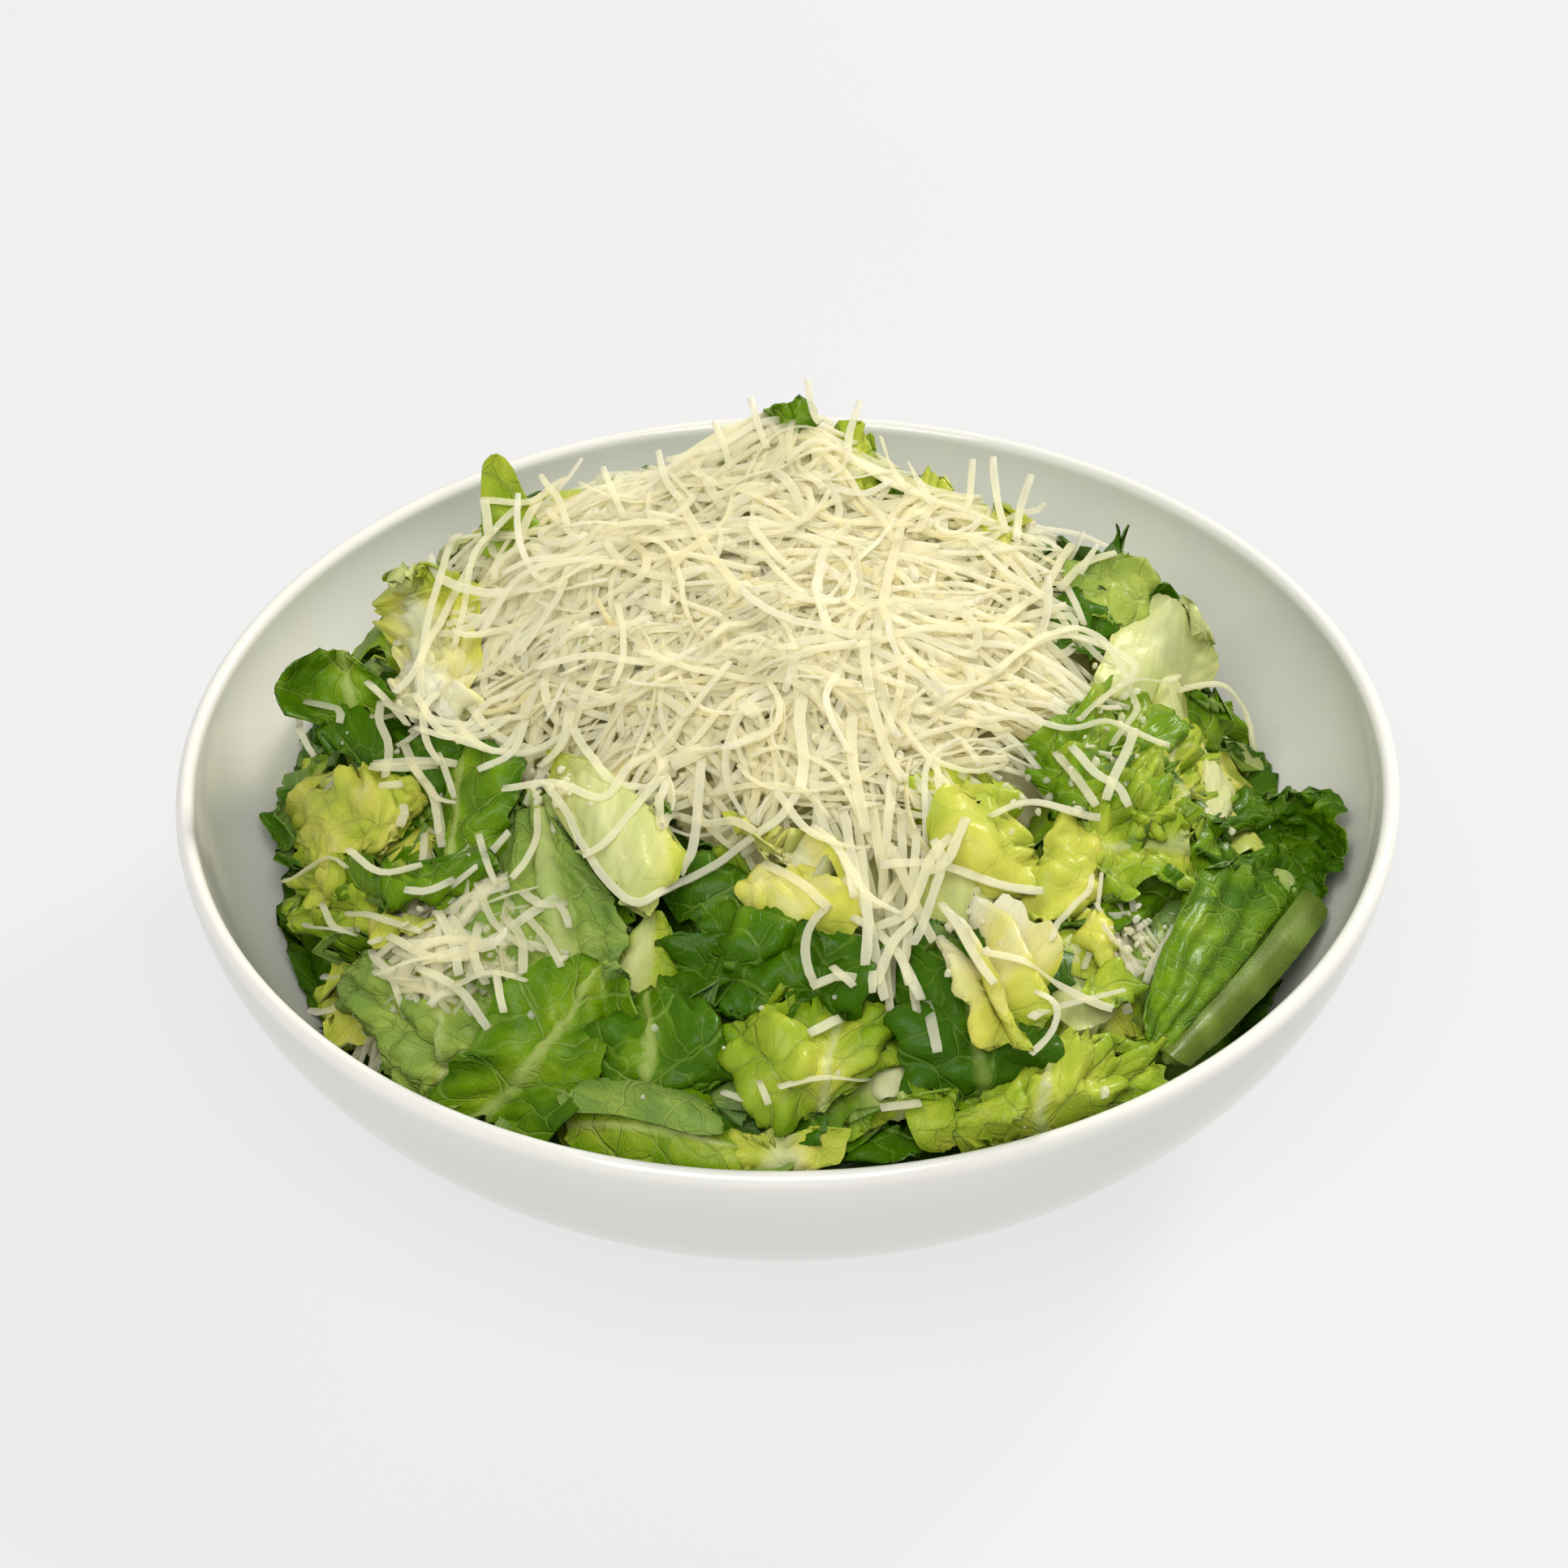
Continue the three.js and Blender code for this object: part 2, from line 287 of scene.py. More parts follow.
def bowl_profile():
    """The section from under the foot, up the outside, over the lip and into the well."""
    climb = np.linspace(0, WALL_END, WALL_STEPS)
    outside = np.stack(wall_section(climb, FOOT_R, BOWL_R, 0), 1)
    inside = np.stack(wall_section(climb, WELL_R, BOWL_R - RIM_THICK, WELL_FLOOR), 1)
    turn = np.linspace(0, math.pi, LIP_STEPS)[1:-1]
    start, end = outside[-1], inside[-1]
    base = start[1] + (end[1] - start[1]) * turn / math.pi
    lip = np.stack([(start[0] + end[0]) / 2 + (start[0] - end[0]) / 2 * np.cos(turn),
                    base + (BOWL_H - base) * np.sin(turn)], 1)
    inner = FOOT_R - FOOT_WIDE
    foot = [(0, FOOT_RECESS), (inner - 2 * FOOT_ROUND, FOOT_RECESS), (inner - 0.4, FOOT_ROUND),
            (inner + 0.4, 0), (FOOT_R - FOOT_ROUND, 0)]
    return np.concatenate([foot, outside[1:], lip, inside[::-1], [(0, WELL_FLOOR)]])


bowl = mesh_piece("porcelain_bowl", *turned(bowl_profile(), BOWL_SIDES), glazed_porcelain())
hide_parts("bowl")
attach(bowl, "root")

# ---------------------------------------------------------------------------------------
# The romaine.
# Heads of romaine cut and torn across into pieces that a fork can take: crisp blades
# under half a millimetre thick, blistered between a net of veins, on pale juicy ribs.

BLADE = 0.42                                # mm thick
NET = 6.0                                   # mm between the veins of the net
BRANCH = 10.5                               # mm between side veins along the rib
BRANCH_LEAN = 0.8                           # how steeply side veins run up from the rib
DEG = math.pi / 180
OVERHEAD = 0.2                              # metres up, where lines are cast down from


def cad_body(node):
    """A CAD body that lines can be cast on."""
    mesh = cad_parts[node].data
    return BVHTree.FromPolygons([v.co for v in mesh.vertices], [p.vertices for p in mesh.polygons])


heap = cad_body("romaine_heap")
heap_peak = max((np.array(v.co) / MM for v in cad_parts["romaine_heap"].data.vertices),
                key=lambda spot: spot[2])
HALF = 110                                  # the ground is mapped from -HALF to HALF, in mm
NOTHING = -50.0                             # height in mm where there is nothing


def cells(x, y):
    """Indices of the ground's cells under points in mm."""
    return (np.clip(np.rint(x + HALF), 0, 2 * HALF).astype(int),
            np.clip(np.rint(y + HALF), 0, 2 * HALF).astype(int))


def cover(node):
    """How high a CAD body reaches over each cell of the ground, and NOTHING beside it."""
    body = cad_body(node)
    tops = np.full((2 * HALF + 1, 2 * HALF + 1), NOTHING)
    low, high = (np.array(corner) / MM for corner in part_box(node))
    for i in range(int(low[0]) + HALF, int(high[0]) + HALF + 2):
        for j in range(int(low[1]) + HALF, int(high[1]) + HALF + 2):
            above = Vector(((i - HALF) * MM, (j - HALF) * MM, OVERHEAD))
            hit = body.ray_cast(above, Vector((0, 0, -1)))[0]
            if hit is not None:
                tops[i, j] = hit.z / MM
    return tops


HEAP_GROWN = 25                             # mm that the heap's height goes on past its edge
heap_tops = cover("romaine_heap")
for _ in range(HEAP_GROWN):
    grown = np.maximum.reduce([np.roll(heap_tops, move, axis) for move in (-1, 1) for axis in (0, 1)])
    heap_tops = np.where(heap_tops < 0, grown, heap_tops)

CHEESE_DEEP = 13.0                          # mm that under leaves lie deeper below the cheese
CHEESE_BLUR = 12                            # times its edge is softened
under_drift = (cover("cheese_mound") > 0) * CHEESE_DEEP
for _ in range(CHEESE_BLUR):
    under_drift = sum(np.roll(under_drift, move, axis) for move in (-1, 1) for axis in (0, 1)) / 4


def smooth_step(value, low, high):
    """0 below low, 1 above high, with soft ends."""
    t = np.clip((value - low) / (high - low), 0, 1)
    return t * t * (3 - 2 * t)


def waves(x, y, length, seed):
    """Uneven soft waves between about -1 and 1, length mm apart."""
    a, b, c, d, e, f = np.random.default_rng(seed).uniform(0, 2 * math.pi, 6)
    k = 2 * math.pi / length
    return (np.sin(k * (x + 0.4 * y) + a + 1.4 * np.sin(k * 0.47 * y + b))
            + np.sin(k * (y - 0.3 * x) + c + 1.4 * np.sin(k * 0.55 * x + d))
            + 0.7 * np.sin(k * 1.9 * x + e) * np.sin(k * 1.7 * y + f)) / 2.2


def bent(points, heading, start, radius, turn):
    """Rolls what lies beyond a fold line round a cylinder, by turn degrees.

    heading is the direction in the sheet, from its width towards its length, that the
    fold line is crossed in; start is the line's distance from the middle."""
    across = np.array([math.cos(heading * DEG), math.sin(heading * DEG), 0])
    turn = turn * DEG
    side = math.copysign(1, turn)
    s = points @ across - start
    rise = points[..., 2] * side
    arc = np.clip(s / radius, 0, abs(turn))
    over = np.maximum(s - radius * abs(turn), 0)
    depth = radius - rise
    along = np.where(s > 0, depth * np.sin(arc) + over * np.cos(arc), s)
    up = np.where(s > 0, radius - depth * np.cos(arc) + over * np.sin(arc), rise)
    return points + np.multiply.outer(along - s, across) + np.stack(
        [np.zeros_like(s), np.zeros_like(s), up * side - points[..., 2]], -1)


def surface_normals(grid):
    """Unit normals of a grid of points."""
    n = np.cross(np.gradient(grid, axis=1), np.gradient(grid, axis=0))
    return n / (np.linalg.norm(n, axis=-1, keepdims=True) + 1e-9)


def on_heap(pixel, lift, near=None):
    """Where a line of sight meets the heap, and then lift mm back towards the eye.

    With near, a point that was met, the line ends as far away as that one."""
    start, line = sight_line(pixel)
    if near is not None:
        return start + line * (((near - start) @ eye_forward) / (line @ eye_forward) - lift)
    hit = heap.ray_cast(Vector(start * MM), Vector(line))[0]
    return None if hit is None else np.array(hit) / MM - line * lift


leaf_plans = []
MAP_ROOM, MAP_ROW = 300, 20                 # mm that each leaf has on the net, and leaves in a row
LOBED, TORN = 0.15, 0.03                    # depth of the lobes at its sides, to its width
LOBED_TIP, TORN_TIP = 0.08, 0.02
BLUNT = 0.1                                 # share of the width that is left at base and tip
RIB_TAPER = 0.3                             # how much a rib narrows from its middle to its tip
NO_RIB = (4.0, 0.0, 0.0)                    # one far beside the leaf, with no width


def plan_leaf(kind, size, hue, place=None, axes=None, rib=None, bends=(), frill=(3.0, 13),
              frilled="lrt", blister=0.6, ends=(5, 3), step=0.85, sway=2.5, pleat=0.0,
              crumple=2.0, underside=False, seed=0, proud=14.0, shape=None):
    """Lays out one piece of leaf flat, ready to be blistered, bent and put in its place.

    size is width and length in mm, along the rib. hue goes from 0, the white heart, to 1,
    the deep green outside, at the base and at the tip. place and axes are where it lies and
    how, unless shape tells where each of its spots goes. rib is (place across, width, depth).
    frill is the height and length of a margin's waves, and frilled names the margins that
    are natural: l and r, and t at the tip. ends are how square base and tip are. blister,
    sway, pleat and crumple are the heights of its swellings, slow waves, folds and creases.
    proud is how far it may stand off the heap, all in mm."""
    width, length = size
    v = np.linspace(-1, 1, max(4, round(length / step)) + 1)[:, None]
    u = np.linspace(-1, 1, max(4, round(width / step)) + 1)[None, :]
    # its outline: rounded ends, lobes on natural margins and small tears on the others
    square = np.where(v < 0, 1.5 * ends[0], 1.5 * ends[1])
    half = np.maximum((1 - np.abs(v * 0.985) ** square) ** (1 / 2.3), BLUNT)
    u_mm = u * width / 2
    tip = waves(u_mm, 0 * u, 13, seed + 1) + 0.4 * waves(u_mm, 0 * u, 4.5, seed + 2)
    y = length / 2 * v * (1 + (LOBED_TIP if "t" in frilled else TORN_TIP) * tip)
    lobes = [(LOBED if name in frilled else TORN) * (waves(y, u * 0, 17, seed + side)
                                                     + 0.35 * waves(y, u * 0, 5, seed + side + 1))
             for name, side in (("l", 2), ("r", 9))]
    jag = 1 + np.where(u < 0, *lobes) + 0.02 * waves(y, u, 7, seed + 3)
    x = width / 2 * u * half * jag + 0.04 * width * waves(0 * u, y, 1.3 * length, seed + 4)
    y = y + 0 * x
    # the rib, the side veins that leave it, and the net between them
    rib_place, rib_width, rib_depth = rib or NO_RIB
    from_rib = np.abs(x - rib_place * width / 2)
    rib_half = rib_width / 2 * (1 - RIB_TAPER * v)
    rib_share = np.clip(1 - (from_rib / np.maximum(rib_half, 1e-3)) ** 2, 0, 1) if rib else 0 * x
    branch = (y - BRANCH_LEAN * from_rib + 0.004 * from_rib ** 2) / BRANCH + 0.37 * seed
    branch = branch + 0.1 * waves(x, y, 14, seed + 5)
    stray = 0.0 if kind == "rib" else 1.1
    net = np.stack([x + stray * waves(x, y, 9, seed + 6) + MAP_ROOM * (len(leaf_plans) % MAP_ROW),
                    y + stray * waves(y, x, 9, seed + 7) + MAP_ROOM * (len(leaf_plans) // MAP_ROW)], -1)
    margin = np.zeros_like(x)
    for name, reach in (("l", -u), ("r", u), ("t", v)):
        if name in frilled:
            margin = np.maximum(margin, smooth_step(reach + 0 * x, 0.3, 1.0) ** 1.5)
    leaf_plans.append(dict(
        kind=kind, x=x, y=y, u=u, v=v, net=net, branch=branch, rib_share=rib_share,
        rib_depth=rib_depth, off_rib=smooth_step(from_rib, rib_half * 0.7, rib_half + 5),
        margin=margin, frill=frill, blister=blister, bends=bends, sway=sway, pleat=pleat,
        crumple=crumple * min(1.0, width / 32), proud=proud,
        hue=hue if isinstance(hue, tuple) else (hue, hue), place=place, axes=axes,
        underside=underside, seed=seed, shape=shape))


def between(knots, t):
    """Shares of evenly spaced knots at places t from -1 to 1, for a curve through them."""
    places = np.linspace(-1, 1, knots)
    return np.stack([np.prod([(t - other) / (place - other) for other in places if other != place], 0)
                     for place in places], -1)


GROWN = 1.1                                 # a leaf is this much larger than its points' spread
REACH_ON = 1.15                             # and its surface goes on this far past them


def torn_leaf(kind, hue, rows, stands=False, **more):
    """A piece of leaf that shows, by rows of its points from its base to its tip.

    Each point is the pixel it is seen at and how far it stands off the heap in mm. One that
    stands up rests on the heap by the middle of its base, and goes up straight from there."""
    middle = rows[0][len(rows[0]) // 2]
    met = [[None if stands and point is not middle else on_heap(point[:2], point[2]) for point in row]
           for row in rows]
    known = [(pixel[:2], spot) for row, spots in zip(rows, met)
             for pixel, spot in zip(row, spots) if spot is not None] or [(rows[0][0][:2], heap_peak)]
    for row, spots in zip(rows, met):
        for k, (pixel, spot) in enumerate(zip(row, spots)):
            if spot is None:
                near = min(known, key=lambda one: math.dist(one[0], pixel[:2]))[1]
                spots[k] = on_heap(pixel[:2], 0.0, near)
    knots = np.array(met)
    up = knots[-1, knots.shape[1] // 2] - knots[0, knots.shape[1] // 2]
    if np.cross(knots[:, -1].mean(0) - knots[:, 0].mean(0), up) @ eye_forward > 0:
        knots = knots[:, ::-1]
    width = np.linalg.norm(np.diff(knots, axis=1), axis=2).sum(1).mean()
    length = np.linalg.norm(np.diff(knots, axis=0), axis=2).sum(0).mean()

    def shape(x, y):
        across = between(knots.shape[1], np.clip(2 * x / width, -REACH_ON, REACH_ON))
        along = between(knots.shape[0], np.clip(2 * y / length, -REACH_ON, REACH_ON))
        return np.einsum("rcm,ijc,ijr->ijm", knots, across, along)
    plan_leaf(kind, (width * GROWN, length * GROWN), hue, shape=shape, seed=len(leaf_plans) + 11, **more)


LEAVES_SEEN = [                             # sort, hue, finish, rows of (pixel x and y, mm proud)
    # at the left, from the back to the front
    ("green", (0.6, 0.54), dict(stands=True, frilled="", ends=(14, 8), proud=30, crumple=0.5, blister=0.6),
     [[(596, 684, 2), (636, 688, 2), (676, 682, 2)],
      [(595, 624, 2), (626, 622, 2), (656, 634, 2)],
      [(598, 568, 2), (616, 566, 2), (634, 580, 2)]]),
    ("heart", (0.1, 0.46), dict(rib=(-0.2, 7, 1.5), frill=(3.2, 9), ends=(9, 5), proud=14),
     [[(490, 866, 6), (532, 874, 8), (582, 862, 6)],
      [(490, 816, 8), (532, 820, 10), (588, 816, 7)],
      [(486, 764, 8), (532, 760, 10), (588, 758, 7)],
      [(468, 704, 7), (514, 706, 8), (574, 706, 5)]]),
    ("green", (0.72, 0.76), dict(stands=True, frill=(1.6, 10), ends=(6, 4), rib=(0.2, 1.6, 0.5), proud=45),
     [[(366, 884, 4), (425, 888, 4), (484, 884, 4)],
      [(350, 846, 4), (415, 846, 4), (484, 856, 4)],
      [(358, 822, 4), (412, 805, 4), (474, 836, 4)]]),
    ("green", (0.9, 0.84), dict(frill=(1.0, 12), frilled="lt", crumple=0.5),
     [[(366, 898, 1), (430, 926, 2), (484, 972, 1)],
      [(364, 884, 3), (430, 905, 5), (494, 948, 4)],
      [(362, 872, 2), (430, 888, 4), (504, 930, 3)]]),
    ("green", 0.88, {},
     [[(470, 985, 1), (520, 990, 2), (565, 965, 2)],
      [(480, 940, 2), (530, 940, 3), (585, 930, 2)],
      [(470, 895, 1), (535, 885, 3), (600, 895, 1)]]),
    ("lime", 0.38, dict(frill=(1.6, 10), ends=(4, 4), crumple=1.0, blister=0.4),
     [[(372, 1050, 4), (432, 1048, 8), (500, 1036, 5)],
      [(361, 1012, 5), (435, 1003, 11), (508, 996, 7)],
      [(376, 982, 2), (434, 953, 4), (513, 966, 3)]]),
    ("green", 0.8, {},
     [[(355, 1062, 0), (368, 1066, 1), (380, 1060, 1)],
      [(350, 985, 0), (360, 982, 1), (372, 990, 1)]]),
    ("lime", 0.56, dict(frilled="lr", ends=(4, 4)),
     [[(392, 1150, 1), (450, 1160, 3), (500, 1150, 2)],
      [(376, 1112, 3), (440, 1118, 6), (500, 1112, 4)],
      [(372, 1080, 2), (440, 1078, 5), (500, 1080, 2)]]),
    ("lime", 0.44, dict(blister=1.2, ends=(3, 3)),
     [[(378, 1104, 5), (400, 1114, 7), (426, 1104, 5)],
      [(364, 1078, 6), (398, 1078, 11), (432, 1074, 7)],
      [(372, 1048, 4), (400, 1036, 6), (426, 1048, 4)]]),
    ("green", (0.7, 0.82), dict(blister=1.3, frill=(2, 9), frilled="rt", rib=(-0.7, 2, 0.6), ends=(9, 5)),
     [[(545, 1074, 6), (572, 1080, 8), (606, 1054, 6)],
      [(556, 1022, 8), (588, 1024, 8), (628, 1010, 6)],
      [(558, 972, 6), (596, 976, 8), (642, 968, 5)],
      [(566, 944, 1), (602, 936, 2), (640, 946, 1)]]),
    ("green", (0.68, 0.74), dict(blister=1.0, frill=(1.2, 10), ends=(4, 6)),
     [[(444, 1098, 6), (505, 1113, 8), (575, 1084, 7)],
      [(430, 1086, 8), (500, 1104, 10), (570, 1066, 9)],
      [(426, 1066, 5), (492, 1088, 7), (560, 1056, 7)]]),
    ("heart", 0.34, dict(blister=1.6, ends=(3, 3)),
     [[(462, 1160, 6), (478, 1164, 7), (496, 1156, 6)],
      [(455, 1136, 6), (474, 1126, 9), (496, 1138, 7)]]),
    ("heart", 0.36, dict(blister=1.6, ends=(3, 3)),
     [[(512, 1150, 4), (522, 1152, 5), (534, 1146, 4)],
      [(508, 1134, 5), (522, 1128, 7), (536, 1136, 5)]]),
    ("green", (0.62, 0.7), dict(rib=(0.15, 5, 1.2), pleat=0.55, underside=True, blister=0.2,
                                crumple=1.2, ends=(6, 6), frilled=""),
     [[(604, 1262, 3), (680, 1244, 4), (738, 1206, 4)],
      [(575, 1150, 5), (672, 1130, 6), (768, 1146, 5)],
      [(612, 1046, 4), (660, 1006, 5), (726, 1066, 5)]]),
    ("rib", (0.5, 0.46), dict(rib=(0.0, 40, 2.0), blister=0.1, crumple=0.5, frilled="",
                              ends=(14, 14), sway=0.6),
     [[(688, 1004, 7), (740, 1064, 9), (792, 1123, 8)],
      [(684, 962, 7), (752, 1018, 11), (818, 1088, 9)],
      [(682, 925, 4), (758, 968, 8), (842, 1050, 7)]]),
    ("green", (0.6, 0.64), dict(rib=(0.35, 1.8, 0.7), underside=True, frill=(1.5, 13), ends=(4, 4)),
     [[(466, 1320, 4), (512, 1346, 5), (560, 1352, 4)],
      [(408, 1250, 5), (505, 1262, 9), (618, 1300, 6)],
      [(402, 1188, 4), (470, 1168, 6), (600, 1210, 4)]]),
    ("green", (0.76, 0.7), dict(rib=(-0.1, 1.7, 0.9), frill=(2.8, 11), blister=0.8, ends=(9, 4)),
     [[(548, 1354, 3), (604, 1374, 4), (668, 1386, 3)],
      [(600, 1300, 6), (658, 1320, 9), (716, 1346, 6)],
      [(655, 1240, 6), (697, 1268, 9), (737, 1292, 5)],
      [(722, 1206, 4), (748, 1212, 6), (772, 1234, 3)]]),
    ("lime", 0.56, dict(rib=(-0.3, 6, 1), blister=0.3, frilled="lr"),
     [[(735, 1208, 2), (785, 1218, 4), (845, 1222, 2)],
      [(762, 1164, 4), (802, 1170, 5), (840, 1176, 4)],
      [(778, 1132, 2), (804, 1124, 4), (828, 1140, 3)]]),
    ("green", (0.82, 0.88), dict(rib=(-0.3, 1.5, 0.7), frill=(1.6, 14), ends=(5, 5)),
     [[(728, 1332, 2), (828, 1348, 6), (922, 1330, 2)],
      [(738, 1286, 5), (830, 1288, 10), (898, 1300, 6)],
      [(758, 1246, 2), (820, 1222, 5), (872, 1228, 3)]]),
    # in front
    ("green", (0.66, 0.68), dict(rib=(0.1, 1.4, 0.5), frill=(0.8, 14), frilled="", ends=(8, 8),
                                 blister=0.5, crumple=0.8),
     [[(700, 1346, 3), (704, 1380, 5), (712, 1430, 2)],
      [(800, 1338, 4), (800, 1384, 9), (806, 1444, 3)],
      [(888, 1374, 2), (898, 1408, 6), (910, 1448, 3)]]),
    ("green", (0.68, 0.64), dict(frill=(0.6, 14), frilled="t", ends=(5, 5), blister=0.1,
                                 crumple=0.5, underside=True),
     [[(680, 1342, 6), (694, 1350, 9), (704, 1370, 10)],
      [(770, 1328, 7), (776, 1350, 11), (782, 1376, 11)],
      [(870, 1360, 5), (874, 1376, 9), (878, 1396, 9)]]),
    ("green", 0.92, {},
     [[(886, 1402, 1), (950, 1410, 2), (1004, 1404, 1)],
      [(880, 1366, 2), (942, 1368, 3), (1004, 1384, 2)]]),
    ("lime", (0.4, 0.46), dict(rib=(0.0, 6, 1.0), blister=0.3, frill=(1.5, 12), frilled="t", ends=(7, 7)),
     [[(884, 1444, 2), (960, 1445, 3), (1034, 1440, 2)],
      [(896, 1420, 4), (962, 1420, 6), (1036, 1416, 4)],
      [(908, 1406, 4), (966, 1398, 6), (1046, 1390, 5)]]),
    ("green", (0.56, 0.66), dict(rib=(0, 2, 1), frill=(1.0, 10), blister=0.3),
     [[(1030, 1400, 3), (1105, 1372, 4), (1214, 1358, 3)],
      [(1048, 1378, 6), (1108, 1344, 8), (1222, 1342, 5)]]),
    ("green", 0.94, {},
     [[(1040, 1436, 1), (1105, 1430, 2), (1160, 1420, 1)],
      [(1060, 1395, 2), (1110, 1390, 3), (1160, 1392, 2)]]),
    ("green", (0.82, 0.76), dict(frill=(3.6, 9), blister=0.8),
     [[(872, 1188, 4), (938, 1186, 7), (1004, 1170, 4)],
      [(866, 1146, 5), (936, 1150, 8), (1000, 1146, 5)],
      [(872, 1112, 3), (930, 1118, 5), (996, 1126, 3)]]),
    ("green", (0.96, 0.9), dict(frill=(2.4, 10), blister=1.0),
     [[(846, 1240, 1), (935, 1246, 3), (1062, 1248, 2)],
      [(840, 1194, 2), (932, 1206, 6), (1060, 1218, 4)],
      [(852, 1156, 1), (940, 1162, 4), (1070, 1166, 2)]]),
    ("heart", (0.24, 0.34), dict(frill=(1.6, 9), rib=(0.3, 3, 0.8)),
     [[(922, 1062, 5), (978, 1078, 6), (1036, 1102, 5)],
      [(908, 1016, 4), (960, 1030, 6), (1016, 1044, 5)]]),
    ("heart", (0.34, 0.28), dict(frill=(1.6, 8), ends=(3, 4)),
     [[(932, 1122, 4), (980, 1132, 5), (1050, 1156, 4)],
      [(914, 1104, 6), (965, 1108, 9), (1044, 1130, 7)],
      [(912, 1076, 5), (962, 1086, 6), (1038, 1100, 5)]]),
    ("lime", (0.58, 0.52), dict(rib=(0.3, 2, 0.6), blister=2.3, frill=(1.6, 8), ends=(3, 4),
                                crumple=1.0, proud=20),
     [[(904, 1322, 4), (985, 1362, 5), (1062, 1326, 4)],
      [(884, 1292, 6), (990, 1302, 10), (1094, 1282, 6)],
      [(926, 1250, 4), (1002, 1238, 6), (1116, 1244, 5)]]),
    ("lime", (0.3, 0.42), dict(rib=(0, 9, 1.2), blister=0.5, frilled="lr"),
     [[(1056, 1350, 1), (1095, 1352, 3), (1130, 1345, 1)],
      [(1060, 1285, 2), (1095, 1285, 5), (1128, 1282, 3)]]),
    # at the right, from the front to the back
    ("lime", (0.54, 0.5), dict(rib=(-0.2, 2, 0.6), blister=1.4, frill=(1.6, 10), ends=(6, 6)),
     [[(1204, 1418, 3), (1312, 1392, 4), (1422, 1338, 3)],
      [(1210, 1378, 6), (1304, 1348, 10), (1404, 1318, 6)],
      [(1236, 1344, 4), (1318, 1300, 6), (1396, 1294, 4)]]),
    ("lime", (0.5, 0.56), dict(blister=1.2, ends=(3, 3)),
     [[(1150, 1422, 3), (1176, 1426, 5), (1200, 1414, 4)],
      [(1150, 1390, 6), (1176, 1392, 9), (1202, 1390, 6)],
      [(1160, 1364, 4), (1180, 1360, 6), (1200, 1368, 4)]]),
    ("green", 1.0, dict(rib=(0.1, 2, 0.8), blister=0.9, frill=(2.4, 11), ends=(5, 5)),
     [[(1132, 1338, 2), (1198, 1346, 4), (1282, 1322, 2)],
      [(1136, 1262, 5), (1194, 1268, 10), (1262, 1294, 6)],
      [(1130, 1182, 2), (1162, 1176, 6), (1204, 1236, 5)]]),
    ("heart", (0.02, 0.44), dict(pleat=3.2, proud=18, frill=(2.2, 7), frilled="rt", blister=0.4,
                                 ends=(9, 4), crumple=1.0),
     [[(1158, 1160, 6), (1188, 1142, 9), (1226, 1120, 7)],
      [(1188, 1214, 12), (1226, 1196, 15), (1276, 1162, 12)],
      [(1212, 1270, 10), (1260, 1268, 13), (1306, 1206, 11)]]),
    ("rib", (0.5, 0.46), dict(rib=(0.0, 20, 1.5), blister=0.1, frilled="", ends=(9, 9), crumple=0.6),
     [[(1300, 1254, 2), (1340, 1264, 4), (1380, 1242, 2)],
      [(1296, 1168, 3), (1335, 1158, 5), (1366, 1186, 3)]]),
    ("heart", 0.38, dict(frill=(2.6, 6)),
     [[(1345, 1182, 5), (1362, 1190, 7), (1384, 1180, 5)],
      [(1328, 1134, 5), (1352, 1122, 8), (1382, 1140, 6)]]),
    ("lime", 0.5, dict(frill=(2.2, 7)),
     [[(1332, 1232, 5), (1362, 1242, 6), (1394, 1236, 5)],
      [(1350, 1196, 5), (1372, 1190, 7), (1392, 1204, 5)]]),
    ("rib", (0.56, 0.5), dict(rib=(0.0, 20, 1.5), blister=0.1, frilled="", ends=(9, 9), crumple=0.6),
     [[(1136, 1134, 3), (1178, 1144, 4), (1216, 1128, 3)],
      [(1140, 1064, 3), (1178, 1054, 4), (1220, 1088, 3)]]),
    ("heart", (0.34, 0.38), dict(blister=1.0, frill=(1.6, 9), ends=(4, 4)),
     [[(1188, 1068, 4), (1214, 1096, 5), (1254, 1090, 4)],
      [(1166, 1038, 5), (1208, 1050, 8), (1256, 1048, 6)],
      [(1164, 1016, 4), (1206, 1006, 6), (1254, 1024, 5)]]),
    ("heart", (0.36, 0.4), dict(blister=1.0, frill=(1.6, 10), ends=(4, 4)),
     [[(1256, 1112, 4), (1292, 1130, 5), (1330, 1116, 4)],
      [(1286, 1060, 5), (1326, 1066, 8), (1360, 1070, 5)],
      [(1296, 1014, 4), (1326, 998, 6), (1352, 1034, 5)]]),
    ("lime", 0.44, dict(blister=1.0),
     [[(1136, 1032, 3), (1192, 1042, 5), (1246, 1024, 4)],
      [(1126, 962, 2), (1190, 958, 4), (1254, 982, 3)]]),
    ("green", 0.76, {},
     [[(1300, 1150, 1), (1370, 1150, 3), (1440, 1140, 1)],
      [(1310, 1095, 2), (1375, 1090, 3), (1440, 1085, 2)]]),
    ("green", (0.74, 0.68), dict(frill=(2, 8)),
     [[(1446, 1134, 2), (1472, 1142, 4), (1498, 1122, 2)],
      [(1450, 1070, 4), (1476, 1068, 6), (1502, 1062, 4)],
      [(1454, 1016, 4), (1474, 1008, 5), (1498, 1012, 3)]]),
    ("green", (0.6, 0.54), dict(blister=1.0, frill=(3.4, 11), rib=(0.0, 2, 0.6), ends=(6, 5)),
     [[(1436, 1000, 3), (1452, 1050, 5), (1462, 1096, 3)],
      [(1390, 985, 5), (1400, 1040, 8), (1408, 1092, 5)],
      [(1338, 1000, 5), (1346, 1052, 8), (1368, 1112, 4)]]),
